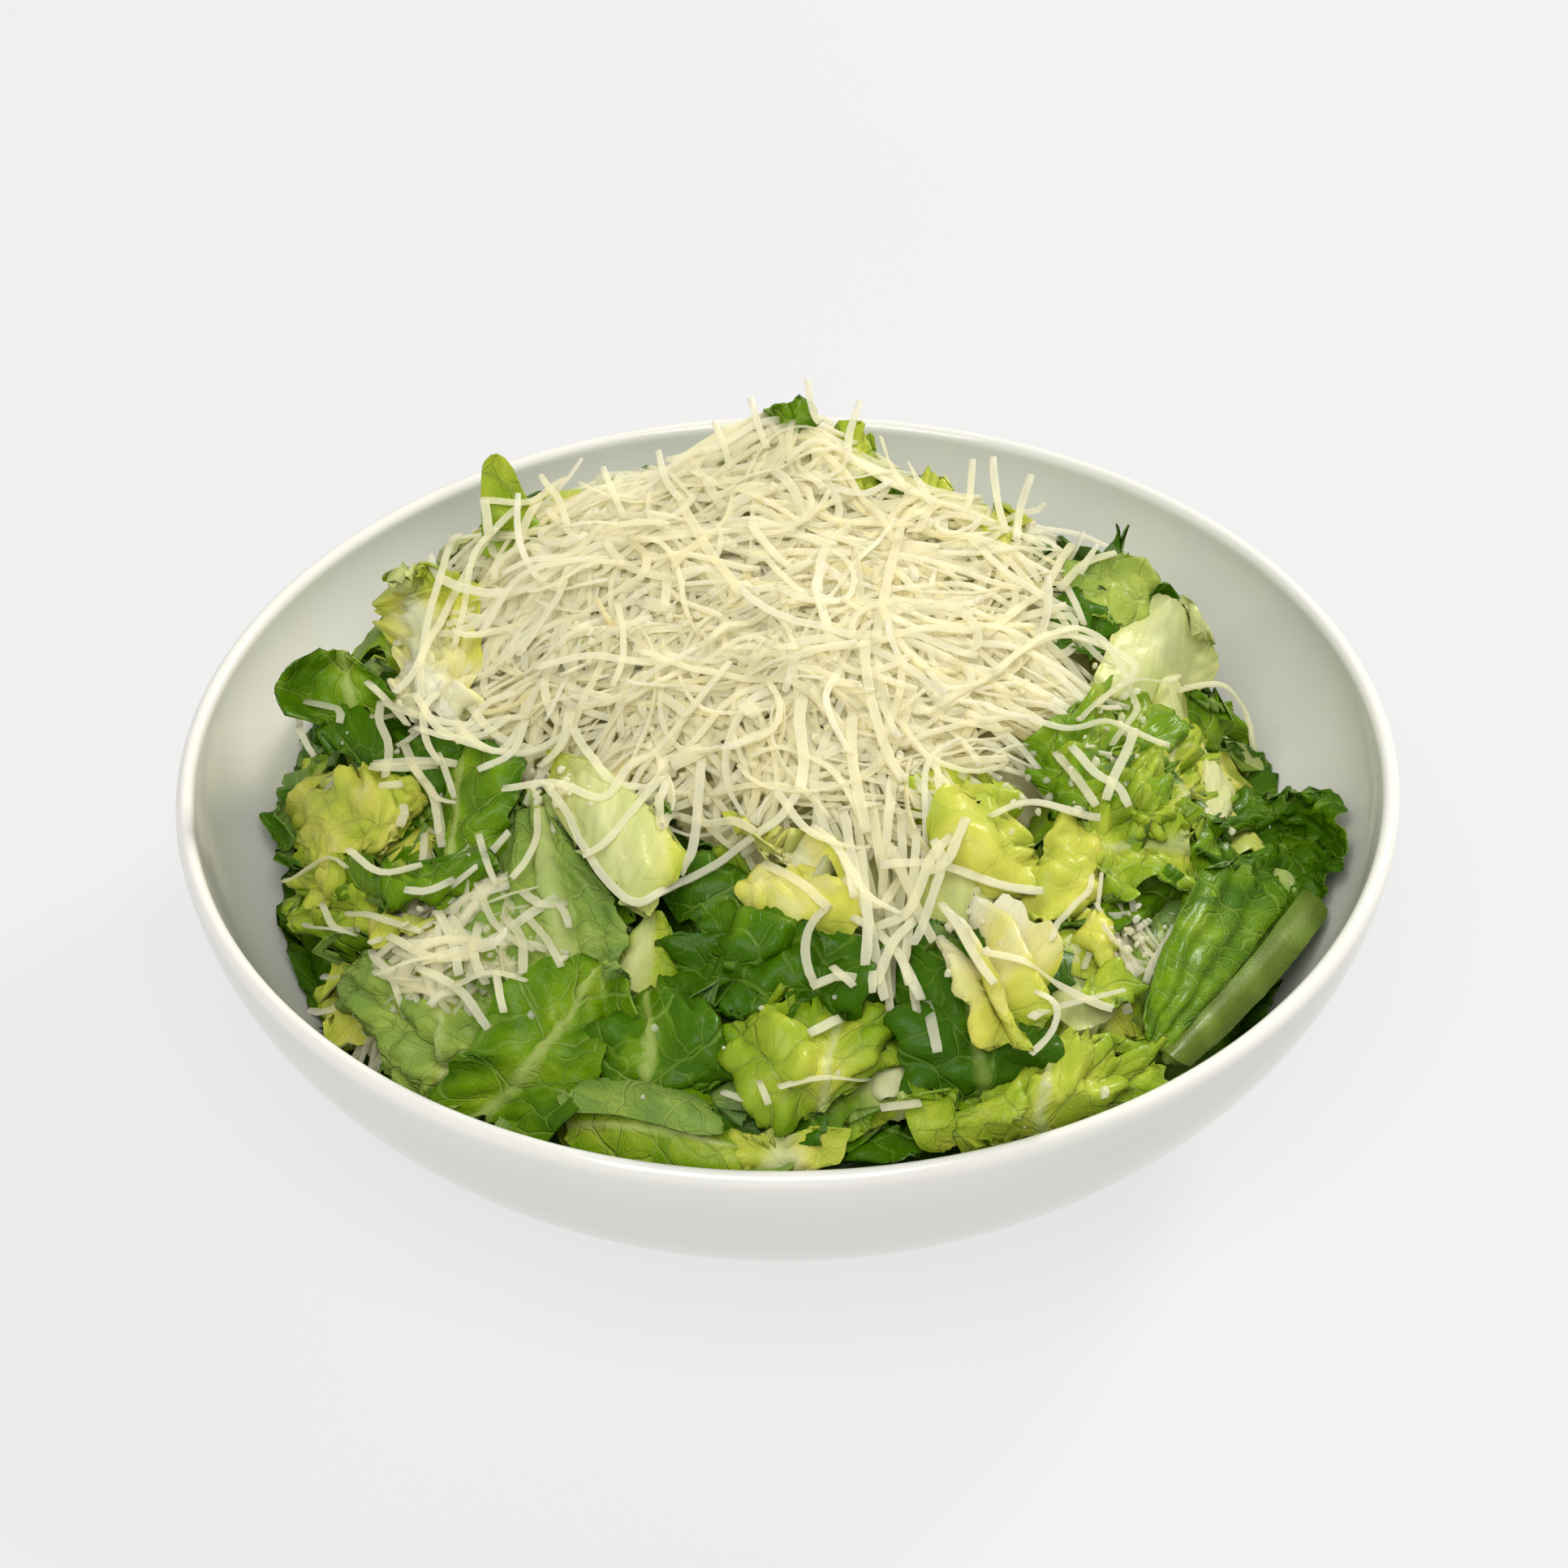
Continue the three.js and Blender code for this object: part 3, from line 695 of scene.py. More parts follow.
    ("green", (0.58, 0.5), dict(rib=(0.1, 2.4, 0.8), blister=0.9, frill=(3.4, 10), ends=(6, 5)),
     [[(1486, 1026, 4), (1444, 1030, 7), (1404, 1036, 5)],
      [(1500, 966, 5), (1440, 968, 8), (1378, 980, 5)],
      [(1484, 910, 3), (1436, 904, 6), (1388, 922, 3)]]),
    ("green", (0.7, 0.6), dict(frill=(3, 12), blister=0.8),
     [[(1286, 996, 2), (1350, 1006, 4), (1420, 988, 3)],
      [(1286, 940, 3), (1356, 940, 6), (1426, 938, 5)],
      [(1296, 892, 2), (1358, 876, 4), (1426, 888, 4)]]),
    ("rib", (0.42, 0.38), dict(rib=(0.0, 16, 1.8), blister=0.1, frilled="", ends=(10, 10), crumple=0.5),
     [[(1478, 1000, 4), (1500, 1006, 6), (1526, 990, 4)],
      [(1464, 924, 4), (1490, 914, 6), (1538, 962, 3)]]),
    ("green", (0.86, 0.8), dict(frill=(1.6, 13), blister=0.5, ends=(8, 7)),
     [[(1496, 1068, 3), (1546, 1094, 5), (1606, 1118, 3)],
      [(1500, 1022, 5), (1562, 1040, 8), (1644, 1060, 4)],
      [(1518, 974, 2), (1578, 986, 4), (1642, 968, 1)]]),
    ("green", (0.72, 0.8), dict(frill=(1.0, 15), frilled="", ends=(10, 9), blister=0.3,
                                crumple=0.8, proud=12),
     [[(1420, 1290, 2), (1434, 1296, 3), (1450, 1286, 2)],
      [(1480, 1196, 3), (1504, 1204, 4), (1526, 1206, 3)],
      [(1524, 1096, 3), (1560, 1106, 4), (1600, 1128, 3)]]),
    ("green", (0.7, 0.74), dict(frill=(1.0, 14), frilled="t", blister=0.1, crumple=0.2, pleat=0.5,
                                ends=(20, 20), proud=20, sway=0.5),
     [[(1408, 1262, 9), (1424, 1278, 10), (1440, 1290, 10)],
      [(1438, 1170, 11), (1472, 1190, 12), (1506, 1210, 12)],
      [(1494, 1064, 10), (1534, 1082, 11), (1584, 1110, 10)]]),
    ("rib", (1.1, 1.08), dict(rib=(0.0, 15, 1.8), blister=0.0, crumple=0.1, sway=0.3, frilled="",
                              ends=(40, 40), proud=20),
     [[(1440, 1288, 10), (1453, 1299, 12), (1466, 1310, 10)],
      [(1519, 1210, 12), (1533, 1222, 14), (1547, 1234, 12)],
      [(1598, 1110, 10), (1614, 1121, 12), (1630, 1132, 10)]]),
    ("green", 0.7, {},
     [[(1460, 918, 4), (1486, 924, 5), (1500, 902, 3)],
      [(1462, 860, 4), (1486, 848, 6), (1508, 876, 3)]]),
    ("rib", (0.5, 0.42), dict(rib=(0.0, 40, 1.8), blister=0.1, crumple=0.4, frilled="",
                              ends=(12, 12), sway=0.6, proud=15),
     [[(1350, 852, 8), (1412, 864, 8), (1480, 846, 9)],
      [(1366, 800, 8), (1424, 800, 8), (1486, 800, 9)],
      [(1402, 746, 6), (1440, 742, 6), (1476, 764, 6)]]),
    ("rib", (0.48, 0.44), dict(rib=(0.0, 16, 1.8), blister=0.1, frilled="", ends=(8, 5), crumple=0.4),
     [[(1420, 906, 7), (1440, 918, 9), (1464, 912, 7)],
      [(1420, 868, 8), (1440, 836, 10), (1462, 850, 8)]]),
    ("lime", (0.54, 0.5), dict(underside=True, frill=(2.6, 9), blister=0.3, crumple=1.5),
     [[(1322, 758, 4), (1370, 770, 7), (1418, 748, 5)],
      [(1320, 716, 3), (1370, 690, 5), (1422, 702, 3)]]),
    ("green", 0.84, dict(frill=(2.5, 8), blister=1.0),
     [[(1296, 800, 3), (1345, 806, 5), (1370, 790, 3)],
      [(1292, 745, 3), (1335, 732, 6), (1374, 752, 4)]]),
    # along the back, and where leaf shows through the cheese
    ("green", 0.9, {},
     [[(1340, 700, 1), (1368, 702, 2), (1398, 700, 1)],
      [(1342, 676, 0), (1366, 666, 0), (1396, 684, 0)]]),
    ("green", 0.84, {},
     [[(1415, 756, 1), (1436, 758, 2), (1452, 750, 1)],
      [(1418, 728, 0), (1436, 722, 0), (1452, 734, 0)]]),
    ("green", 0.68, dict(frill=(2.6, 5)),
     [[(946, 540, 2), (968, 544, 3), (992, 536, 2)],
      [(944, 512, 0), (968, 500, 0), (990, 508, 0)]]),
    ("lime", 0.5, {},
     [[(1040, 598, 2), (1070, 604, 3), (1100, 592, 2)],
      [(1030, 548, 0), (1062, 540, 0), (1094, 566, 0)]]),
    ("lime", 0.44, {},
     [[(1115, 632, 2), (1145, 636, 3), (1175, 628, 2)],
      [(1118, 594, 0), (1146, 588, 0), (1174, 600, 0)]]),
    ("heart", 0.4, dict(frill=(3, 8)),
     [[(1185, 675, 2), (1220, 680, 3), (1252, 670, 2)],
      [(1190, 628, 0), (1222, 622, 0), (1252, 636, 0)]]),
    ("lime", 0.6, dict(proud=10),
     [[(952, 842, 4), (972, 846, 5), (994, 836, 4)],
      [(950, 816, 4), (970, 808, 6), (992, 816, 4)]]),
    ("heart", 0.38, dict(frill=(2.5, 7), proud=10),
     [[(700, 800, 4), (728, 806, 5), (756, 796, 4)],
      [(704, 776, 4), (730, 770, 6), (756, 780, 4)]]),
    ("green", 0.66, dict(proud=10),
     [[(744, 708, 4), (775, 712, 5), (802, 706, 4)],
      [(748, 686, 4), (776, 680, 5), (802, 690, 4)]]),
]
for kind, hue, finish, rows in LEAVES_SEEN:
    torn_leaf(kind, hue, rows, **finish)

# the hues of the leaves in between, and the share of each
FILL_HUES = {0.35: 0.08, 0.48: 0.14, 0.6: 0.22, 0.7: 0.24, 0.82: 0.2, 0.92: 0.12}
FILL_WIDE, FILL_LONG = (20, 32), (24, 38)   # mm, least and most
FILL_SMALLER = 0.6                          # size of those next to the wall, to the others
FILL_GRID = 1.9                             # mm between their points
FILL_TILT, WALL_TILT = 0.32, 0.1            # how far they lean from the heap, and beside the wall
BACK_FROM, RIGHT_FROM, LEFT_FROM = 45, 70, -68    # mm; past these, leaves lie next to the wall
LEFT_DEEPER, LEFT_PALER = 2, 0.74           # mm, and the deepest green there
CHEESE_MIDDLE, CHEESE_R = (-5, 12), 50      # mm; leaves within this are under the cheese
CHEESE_DEPTH = (-15, -10)                   # mm that those lie deep
RIBBED, UPTURNED = 0.5, 0.35                # shares of them with a rib, and underside up


def fill_leaves(count, seed, ring=(0, 91), headings=(0, 360), deep=6.0):
    """The rest of the heap: pieces that lie every way under and between those that show.

    ring is how far from the middle they lie, headings which way from it, and deep how far
    under the heap's outline, all in mm and degrees."""
    draw = np.random.default_rng(seed)
    for _ in range(count):
        r = math.sqrt(draw.uniform(ring[0] ** 2, ring[1] ** 2))
        heading = draw.uniform(*headings) * DEG
        above = Vector((r * math.cos(heading) * MM, r * math.sin(heading) * MM, OVERHEAD))
        hit, normal = heap.ray_cast(above, Vector((0, 0, -1)))[:2]
        if hit is None:
            continue
        behind = hit.y / MM > BACK_FROM or hit.x / MM > RIGHT_FROM
        beside = hit.x / MM < LEFT_FROM
        normal = np.array(normal) + draw.normal(0, WALL_TILT if beside else FILL_TILT, 3)
        normal = normal / np.linalg.norm(normal)
        along = np.cross(normal, draw.normal(0, 1, 3))
        along = along / np.linalg.norm(along)
        axes = np.stack([np.cross(along, normal), along, normal], 1)
        under_cheese = math.dist((hit.x / MM, hit.y / MM), CHEESE_MIDDLE) < CHEESE_R
        depth = draw.uniform(*CHEESE_DEPTH if under_cheese else (-deep, 0 if behind else -0.5))
        depth = depth - LEFT_DEEPER * beside
        size = np.array([draw.uniform(*FILL_WIDE), draw.uniform(*FILL_LONG)])
        size = size * (FILL_SMALLER if beside or behind else 1.0)
        hue = float(draw.choice(list(FILL_HUES), p=list(FILL_HUES.values())))
        hue = min(hue, LEFT_PALER) if beside else hue
        sides = [(way, draw.uniform(1, 5), draw.uniform(10, 24), draw.uniform(-60, 60)) for way in (0, 180)]
        ribbed = draw.uniform() < RIBBED
        plan_leaf("fill", tuple(size), hue, np.array(hit) / MM + normal * depth, axes,
                  rib=(draw.uniform(-0.6, 0.6), draw.uniform(2, 7), 1.5) if ribbed else None,
                  bends=() if beside else sides, frill=(draw.uniform(1.5, 4), draw.uniform(9, 14)),
                  blister=draw.uniform(0.3, 0.9), step=FILL_GRID, proud=2.0,
                  underside=draw.uniform() < UPTURNED, seed=int(draw.integers(1000, 9000)))


fill_leaves(150, seed=5)
fill_leaves(94, seed=6, ring=(70, 102), headings=(20, 172), deep=2.0)


def net_distance(spots):
    """How far each spot (mm, flat) is from the nearest vein of the net, as the shader has it."""
    mesh = bpy.data.meshes.new("net_spots")
    mesh.vertices.add(len(spots))
    spots = np.concatenate([spots, np.zeros((len(spots), 1))], 1).astype(np.float32)
    mesh.vertices.foreach_set("co", spots.ravel())
    holder = bpy.data.objects.new("net_spots", mesh)
    bpy.context.scene.collection.objects.link(holder)
    tree = bpy.data.node_groups.new("net_distance", "GeometryNodeTree")
    tree.interface.new_socket("Geometry", in_out="INPUT", socket_type="NodeSocketGeometry")
    tree.interface.new_socket("Geometry", in_out="OUTPUT", socket_type="NodeSocketGeometry")
    given = add(tree, "NodeGroupInput")
    where = add(tree, "GeometryNodeInputPosition")
    net = add(tree, "ShaderNodeTexVoronoi", {"Vector": where, "Scale": 1 / NET},
              voronoi_dimensions="2D", feature="DISTANCE_TO_EDGE")
    kept = add(tree, "GeometryNodeStoreNamedAttribute", {
        "Geometry": given, "Name": "edge", "Value": net.outputs["Distance"]},
        data_type="FLOAT", domain="POINT")
    add(tree, "NodeGroupOutput", {0: kept})
    holder.modifiers.new("net", "NODES").node_group = tree
    found = holder.evaluated_get(bpy.context.evaluated_depsgraph_get()).data
    distance = np.zeros(len(spots), np.float32)
    found.attributes["edge"].data.foreach_get("value", distance)
    bpy.data.objects.remove(holder)
    bpy.data.meshes.remove(mesh)
    bpy.data.node_groups.remove(tree)
    return distance * NET


OVER_RIM = 4                                # mm above the rim from where things may lie past it


def inside_bowl(points, slack):
    """Presses points that would run into the bowl's wall back, slack mm off it."""
    r = np.hypot(points[..., 0], points[..., 1])
    room = well_radius(np.minimum(points[..., 2], BOWL_H)) - slack
    low = points[..., 2] < BOWL_H + OVER_RIM
    share = np.where(low & (r > room), room / np.maximum(r, 1e-6), 1)
    return points * np.stack([share, share, np.ones_like(share)], -1)


PILLOW = 0.3                                # how far from a vein a blister is full, to NET
PLEATS = 5.5                                # mm apart
RIB_OVER, RIB_UNDER = 0.15, 0.85            # shares of a rib's swelling on the two faces
PRESSED = 0.92                              # share taken off what stands too proud of the heap


def leaf_shell(plan, edge):
    """Points, quads and layers of one piece of leaf, with its two faces and its cut edge."""
    x, y, margin = plan["x"], plan["y"], plan["margin"]
    # blisters between the veins, frills at the margins, creases and pleats
    bulge = np.sin(math.pi * (plan["branch"] % 1)) ** 0.7
    pillow = 1 - np.exp(-(edge / (PILLOW * NET)) ** 2)
    puffed = 0.6 + 0.4 * waves(x, y, 17, plan["seed"] + 8)
    height = plan["blister"] * plan["off_rib"] * (1.2 * bulge + 1.4 * pillow * puffed)
    amount, length = plan["frill"]
    around = y * np.sign(plan["u"]) + x * 0.8
    height = height + amount * margin * waves(around, 0 * x, length, plan["seed"] + 9)
    height = height + plan["crumple"] * (1.0 * waves(x, y, 21, plan["seed"] + 12)
                                         + 0.5 - 1.1 * np.abs(waves(x, y, 13, plan["seed"] + 13))
                                         + 0.25 - 0.5 * np.abs(waves(x, y, 6, plan["seed"] + 14)))
    height = height + np.random.default_rng(plan["seed"]).normal(0.6, 2.2) * margin
    height = height + plan["pleat"] * np.sin(2 * math.pi * x / PLEATS + waves(y, x, 22, plan["seed"]))
    # bent and put in its place, then pressed down to the heap and back from the wall
    if plan["shape"]:
        sheet = plan["shape"](x, y)
        height = height + 0.5 * plan["sway"] * waves(x, y, 34, plan["seed"] + 10)
        sheet = sheet + surface_normals(sheet) * height[..., None]
    else:
        sheet = np.stack([x, y, plan["sway"] * waves(x, y, 34, plan["seed"] + 10)], -1)
        for bend in plan["bends"]:
            sheet = bent(sheet, *bend)
        sheet = sheet + surface_normals(sheet) * height[..., None]
        sheet = (sheet - sheet.mean((0, 1))) @ plan["axes"].T + plan["place"]
    spots = cells(sheet[..., 0], sheet[..., 1])
    room = heap_tops[spots] + plan["proud"] - under_drift[spots] * (plan["kind"] == "fill")
    sheet[..., 2] -= np.maximum(sheet[..., 2] - room, 0) * PRESSED
    sheet = inside_bowl(sheet, slack=1.0 + (plan["seed"] % 5) * 0.45)
    # two faces a blade's thickness apart, more at the rib, with a cut edge round them
    normal = surface_normals(sheet)
    swell = plan["rib_depth"] * np.sqrt(plan["rib_share"])
    above, below = (RIB_UNDER, RIB_OVER) if plan["underside"] else (RIB_OVER, RIB_UNDER)
    front = sheet + normal * (BLADE / 2 + above * swell)[..., None]
    back = sheet - normal * (BLADE / 2 + below * swell)[..., None]
    rows, columns = x.shape
    index = np.arange(rows * columns).reshape(rows, columns)
    quads = np.stack([index[:-1, :-1], index[:-1, 1:], index[1:, 1:], index[1:, :-1]], -1)
    quads = quads.reshape(-1, 4)
    ring = np.concatenate([index[0, :-1], index[:-1, -1], index[-1, :0:-1], index[:0:-1, 0]])
    after = np.roll(ring, -1)
    under = index.size
    faces = np.concatenate([quads, quads[:, ::-1] + under,
                            np.stack([ring, ring + under, after + under, after], -1)])
    points = np.concatenate([front.reshape(-1, 3), back.reshape(-1, 3)])
    rim = np.zeros(2 * under)
    rim[ring], rim[ring + under] = 1, -1
    # what the shader is told: hue, rib and side, and the place on the map of veins
    low, high = plan["hue"]
    hue = low + (high - low) * (plan["v"] + 1) / 2 + 0.06 * waves(x, y, 19, plan["seed"] + 3)
    hue = hue + 0.05 * margin - 0.1 * (1 - plan["off_rib"])
    upper = float(plan["underside"])
    looks = [np.stack([hue, plan["rib_share"], np.full_like(x, side)], -1).reshape(-1, 3)
             for side in (upper, 1 - upper)]
    leaf_map = np.concatenate([plan["net"], plan["branch"][..., None]], -1).reshape(-1, 3)
    return points, faces, np.concatenate(looks), np.tile(leaf_map, (2, 1)), rim


def romaine_blade():
    """Living leaf: waxy and half glossy, lit through by the day, with a net of paler veins
    sunk between blisters; white to lime at the heart, deep green outside, grey beneath.

    The leaf's map is in mm: veins 6 and 1.7 mm apart, mottling 6 mm wide, and pores drawn
    0.5 mm apart, coarser than real ones so that they show."""
    material, tree, out = new_material("romaine_blade")
    look = add(tree, "ShaderNodeSeparateXYZ", {
        0: add(tree, "ShaderNodeAttribute", attribute_name="leaf_look").outputs["Vector"]})
    hue, rib, beneath = look.outputs
    spot = add(tree, "ShaderNodeAttribute", attribute_name="leaf_map").outputs["Vector"]
    branch = add(tree, "ShaderNodeSeparateXYZ", {0: spot}).outputs[2]
    net = add(tree, "ShaderNodeTexVoronoi", {"Vector": spot, "Scale": 1 / NET},
              voronoi_dimensions="2D", feature="DISTANCE_TO_EDGE")
    hairs = add(tree, "ShaderNodeTexVoronoi", {"Vector": spot, "Scale": 1 / 1.7},
                voronoi_dimensions="2D", feature="DISTANCE_TO_EDGE")
    mottle = add(tree, "ShaderNodeTexNoise", {"Vector": spot, "Scale": 1 / 6, "Detail": 4.0},
                 noise_dimensions="2D")
    grain = add(tree, "ShaderNodeTexNoise", {"Vector": spot, "Scale": 1 / 0.5, "Detail": 2.0},
                noise_dimensions="2D")
    # veins: the net, the side veins that leave the rib, and hair veins in between
    to_branch = add(tree, "ShaderNodeMath", {0: branch, 1: 0.5}, operation="PINGPONG")
    net_vein = add(tree, "ShaderNodeValToRGB", {0: net}, stops=[(0.01, 0.7), (0.06, 0.0)])
    branch_vein = add(tree, "ShaderNodeValToRGB", {0: to_branch}, stops=[(0.01, 1.0), (0.05, 0.0)])
    hair_vein = add(tree, "ShaderNodeValToRGB", {0: hairs}, stops=[(0.02, 0.22), (0.09, 0.0)])
    veins = add(tree, "ShaderNodeMath", {0: net_vein, 1: branch_vein}, operation="MAXIMUM")
    veins = add(tree, "ShaderNodeMath", {0: veins, 1: hair_vein}, operation="MAXIMUM")
    off_rib = add(tree, "ShaderNodeMath", {0: 1.0, 1: rib}, operation="SUBTRACT", use_clamp=True)
    veins = add(tree, "ShaderNodeMath", {0: veins, 1: off_rib}, operation="MULTIPLY")
    grown = add(tree, "ShaderNodeValToRGB", {0: hue}, stops=[(0.36, 0.25), (0.56, 1.0)])
    veins = add(tree, "ShaderNodeMath", {0: veins, 1: grown}, operation="MULTIPLY")
    # colours from the heart to the outer leaves
    patchy = add(tree, "ShaderNodeMath", {0: mottle, 1: 0.3, 2: -0.15}, operation="MULTIPLY_ADD")
    tone = add(tree, "ShaderNodeMath", {0: hue, 1: patchy}, operation="ADD")
    flesh = add(tree, "ShaderNodeValToRGB", {0: tone}, stops=[
        (0.0, "#F4F0DA"), (0.18, "#F0EAAC"), (0.34, "#E2E060"), (0.5, "#B6C83A"),
        (0.66, "#7AA20C"), (0.82, "#4A7800"), (1.0, "#3E6C02")])
    vein_colour = add(tree, "ShaderNodeValToRGB", {0: hue}, stops=[
        (0.0, "#EFEECB"), (0.34, "#CCD070"), (0.5, "#93A350"), (0.66, "#B4C868"),
        (0.82, "#9CBA48"), (1.0, "#7EA038")])
    rib_colour = add(tree, "ShaderNodeValToRGB", {0: hue}, stops=[
        (0.0, "#F4F2E0"), (0.35, "#E2E6A0"), (0.6, "#BECE6E"), (0.9, "#8CA646"), (1.0, "#6A7E28")])
    lengthwise = add(tree, "ShaderNodeMapping", {"Vector": spot, "Scale": (0.6, 0.035, 1.0)})
    fibres = add(tree, "ShaderNodeTexNoise", {"Vector": lengthwise, "Scale": 1.0, "Detail": 3.0},
                 noise_dimensions="2D")
    streak = add(tree, "ShaderNodeValToRGB", {0: fibres}, stops=[(0.35, 0.9), (0.65, 1.0)])
    rib_colour = add(tree, "ShaderNodeMix", {0: 0.8, 6: rib_colour, 7: streak},
                     data_type="RGBA", blend_type="MULTIPLY")
    vein_share = add(tree, "ShaderNodeMath", {0: veins, 1: 0.42}, operation="MULTIPLY")
    colour = add(tree, "ShaderNodeMix", {0: vein_share, 6: flesh, 7: vein_colour}, data_type="RGBA")
    rib_share = add(tree, "ShaderNodeMath", {0: rib, 1: 0.6}, operation="POWER")
    colour = add(tree, "ShaderNodeMix", {0: rib_share, 6: colour, 7: rib_colour}, data_type="RGBA")
    grey = add(tree, "ShaderNodeMix", {0: 0.3, 6: colour, 7: "#ACC080"}, data_type="RGBA")
    colour = add(tree, "ShaderNodeMix", {0: beneath, 6: colour, 7: grey}, data_type="RGBA")
    glow = add(tree, "ShaderNodeMix", {0: 0.35, 6: colour, 7: "#E4E454"},
               data_type="RGBA", blend_type="MULTIPLY")
    gloss = add(tree, "ShaderNodeValToRGB", {0: mottle}, stops=[(0.3, 0.28), (0.7, 0.44)])
    relief = add(tree, "ShaderNodeMath", {0: grain, 1: 0.25}, operation="MULTIPLY")
    relief = add(tree, "ShaderNodeMath", {0: relief, 1: veins}, operation="SUBTRACT")
    ridges = add(tree, "ShaderNodeMath", {0: fibres, 1: rib}, operation="MULTIPLY")
    ridges = add(tree, "ShaderNodeMath", {0: ridges, 1: 0.6}, operation="MULTIPLY")
    relief = add(tree, "ShaderNodeMath", {0: relief, 1: ridges}, operation="ADD")
    bump = add(tree, "ShaderNodeBump", {"Strength": 0.7, "Distance": 0.0005, "Height": relief})
    skin = add(tree, "ShaderNodeBsdfPrincipled", {
        "Base Color": colour, "Roughness": gloss, "IOR": 1.42, "Normal": bump,
        "Specular IOR Level": 0.2, "Coat Weight": 0.1, "Coat Roughness": 0.12})
    through = add(tree, "ShaderNodeBsdfTranslucent", {"Color": glow, "Normal": bump})
    both = add(tree, "ShaderNodeMixShader", {0: 0.3, 1: skin, 2: through})
    tree.links.new(both.outputs[0], out.inputs["Surface"])
    return material


def lowered(node, voxel, drop, inset=0.0, drop_top=True):
    """Points and quads of a CAD body in even cells of voxel mm, let down by drop mm (its top
    only, or all of it) and with its sides drawn in by inset mm."""
    body = bpy.data.objects.new("core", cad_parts[node].data.copy())
    bpy.context.scene.collection.objects.link(body)
    even = body.modifiers.new("even", "REMESH")
    even.mode = "VOXEL"
    even.voxel_size = voxel * MM
    mesh = body.evaluated_get(bpy.context.evaluated_depsgraph_get()).data
    points = np.zeros(3 * len(mesh.vertices), np.float32)
    normals = np.zeros(3 * len(mesh.vertices), np.float32)
    quads = np.zeros(len(mesh.loops), np.int32)
    mesh.vertices.foreach_get("co", points)
    mesh.vertices.foreach_get("normal", normals)
    mesh.loops.foreach_get("vertex_index", quads)
    points, normals = points.reshape(-1, 3).astype(float) / MM, normals.reshape(-1, 3).astype(float)
    bpy.data.objects.remove(body)
    points[:, 2] -= drop * (np.clip(normals[:, 2], 0, 1) ** 0.5 if drop_top else 1)
    points[:, :2] -= inset * normals[:, :2] * (1 - np.abs(normals[:, 2:]))
    return points, quads.reshape(-1, 4)


def edge_ends(piece):
    """The two points of every edge of a piece."""
    ends = np.zeros(2 * len(piece.data.edges), np.int32)
    piece.data.edges.foreach_get("vertices", ends)
    return ends.reshape(-1, 2)


def crisp_edges(piece, which):
    """Keeps the named edges of a smooth piece sharp, as where something was cut."""
    crisp = piece.data.attributes.new("sharp_edge", "BOOLEAN", "EDGE")
    crisp.data.foreach_set("value", which)


def join(parts):
    """One mesh from parts of (points, faces, layers...)."""
    starts = np.cumsum([0] + [len(part[0]) for part in parts])
    shifted = [part[1] + start for part, start in zip(parts, starts)]
    return [np.concatenate([part[0] for part in parts]), np.concatenate(shifted),
            *(np.concatenate(layer) for layer in list(zip(*parts))[2:])]


CORE_GREEN_AND_SHADE, CORE_PATCHES = 0.84, 0.12         # the core's deep green, partly the outer leaves' colour and partly painted shade in the gaps down to it, and how much it strays
CORE_BUMPS = 1.6                            # mm high, where it is above CORE_FLAT
CORE_FLAT = 20

blade_material = romaine_blade()
core_points, core_faces = lowered("romaine_heap", voxel=2.2, drop=12.0)
core_points[:, 2] += np.where(core_points[:, 2] > CORE_FLAT, 1.0, 0.0) * CORE_BUMPS * waves(
    core_points[:, 0], core_points[:, 1], 11, 3)
core_points = inside_bowl(core_points, slack=1.5)
looks = np.tile([CORE_GREEN_AND_SHADE, 0.0, 0.0], (len(core_points), 1))
looks[:, 0] += CORE_PATCHES * waves(core_points[:, 0], core_points[:, 1], 26, 4)
core = mesh_piece("romaine_core", core_points, core_faces, blade_material,
                  {"leaf_look": looks, "leaf_map": core_points})
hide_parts("romaine_heap")
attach(core, "root")

edges = net_distance(np.concatenate([plan["net"].reshape(-1, 2) for plan in leaf_plans]))
kinds = {}
for plan in leaf_plans:
    here, edges = edges[:plan["x"].size].reshape(plan["x"].shape), edges[plan["x"].size:]
    kinds.setdefault(plan["kind"], []).append(leaf_shell(plan, here))

LEAF_PIECES = {"green": "romaine_green_leaves", "lime": "romaine_lime_leaves",
               "heart": "romaine_heart_leaves", "rib": "romaine_rib_pieces",
               "fill": "romaine_under_leaves"}
leaf_tops = []
for kind, name in LEAF_PIECES.items():
    points, faces, looks, maps, rims = join(kinds[kind])
    piece = mesh_piece(name, points, faces, blade_material, {"leaf_look": looks, "leaf_map": maps})
    ends = edge_ends(piece)
    crisp_edges(piece, rims[ends[:, 0]] * rims[ends[:, 1]] > 0)
    leaf_tops.append(points)
    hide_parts("romaine_heap")
    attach(piece, "root")

# ---------------------------------------------------------------------------------------
# The shredded cheese.
# Hard ivory cheese run over a grater's large holes: limp flat shreds about 2 mm wide that
# fell one by one on the leaves and on each other, with crumbs where the grater broke them.

STEP = 1.0                                  # mm between the points that can touch down
KEPT = 2.5                                  # mm between the points of a shred's mesh
SHRED_THICK = (0.35, 0.55)                  # mm, least and most
SHRED_LAYER = -1.5                          # mm that the top layer of shreds stands proud
OVER_LEAVES = 2                             # mm that shreds may pile up beside the cheese
LAYER_STRAY = (-2.0, 2.5)                   # mm that single shreds stray from the top layer
SAG, LIMP_SAG = (0.005, 0.02), 0.03         # how sharply shreds bend down, and limp ones more
SOFTENED = 2.5                              # mm over which a shred's bends are smoothed
ROLL = 0.5                                  # radians that shreds are rolled and twisted by

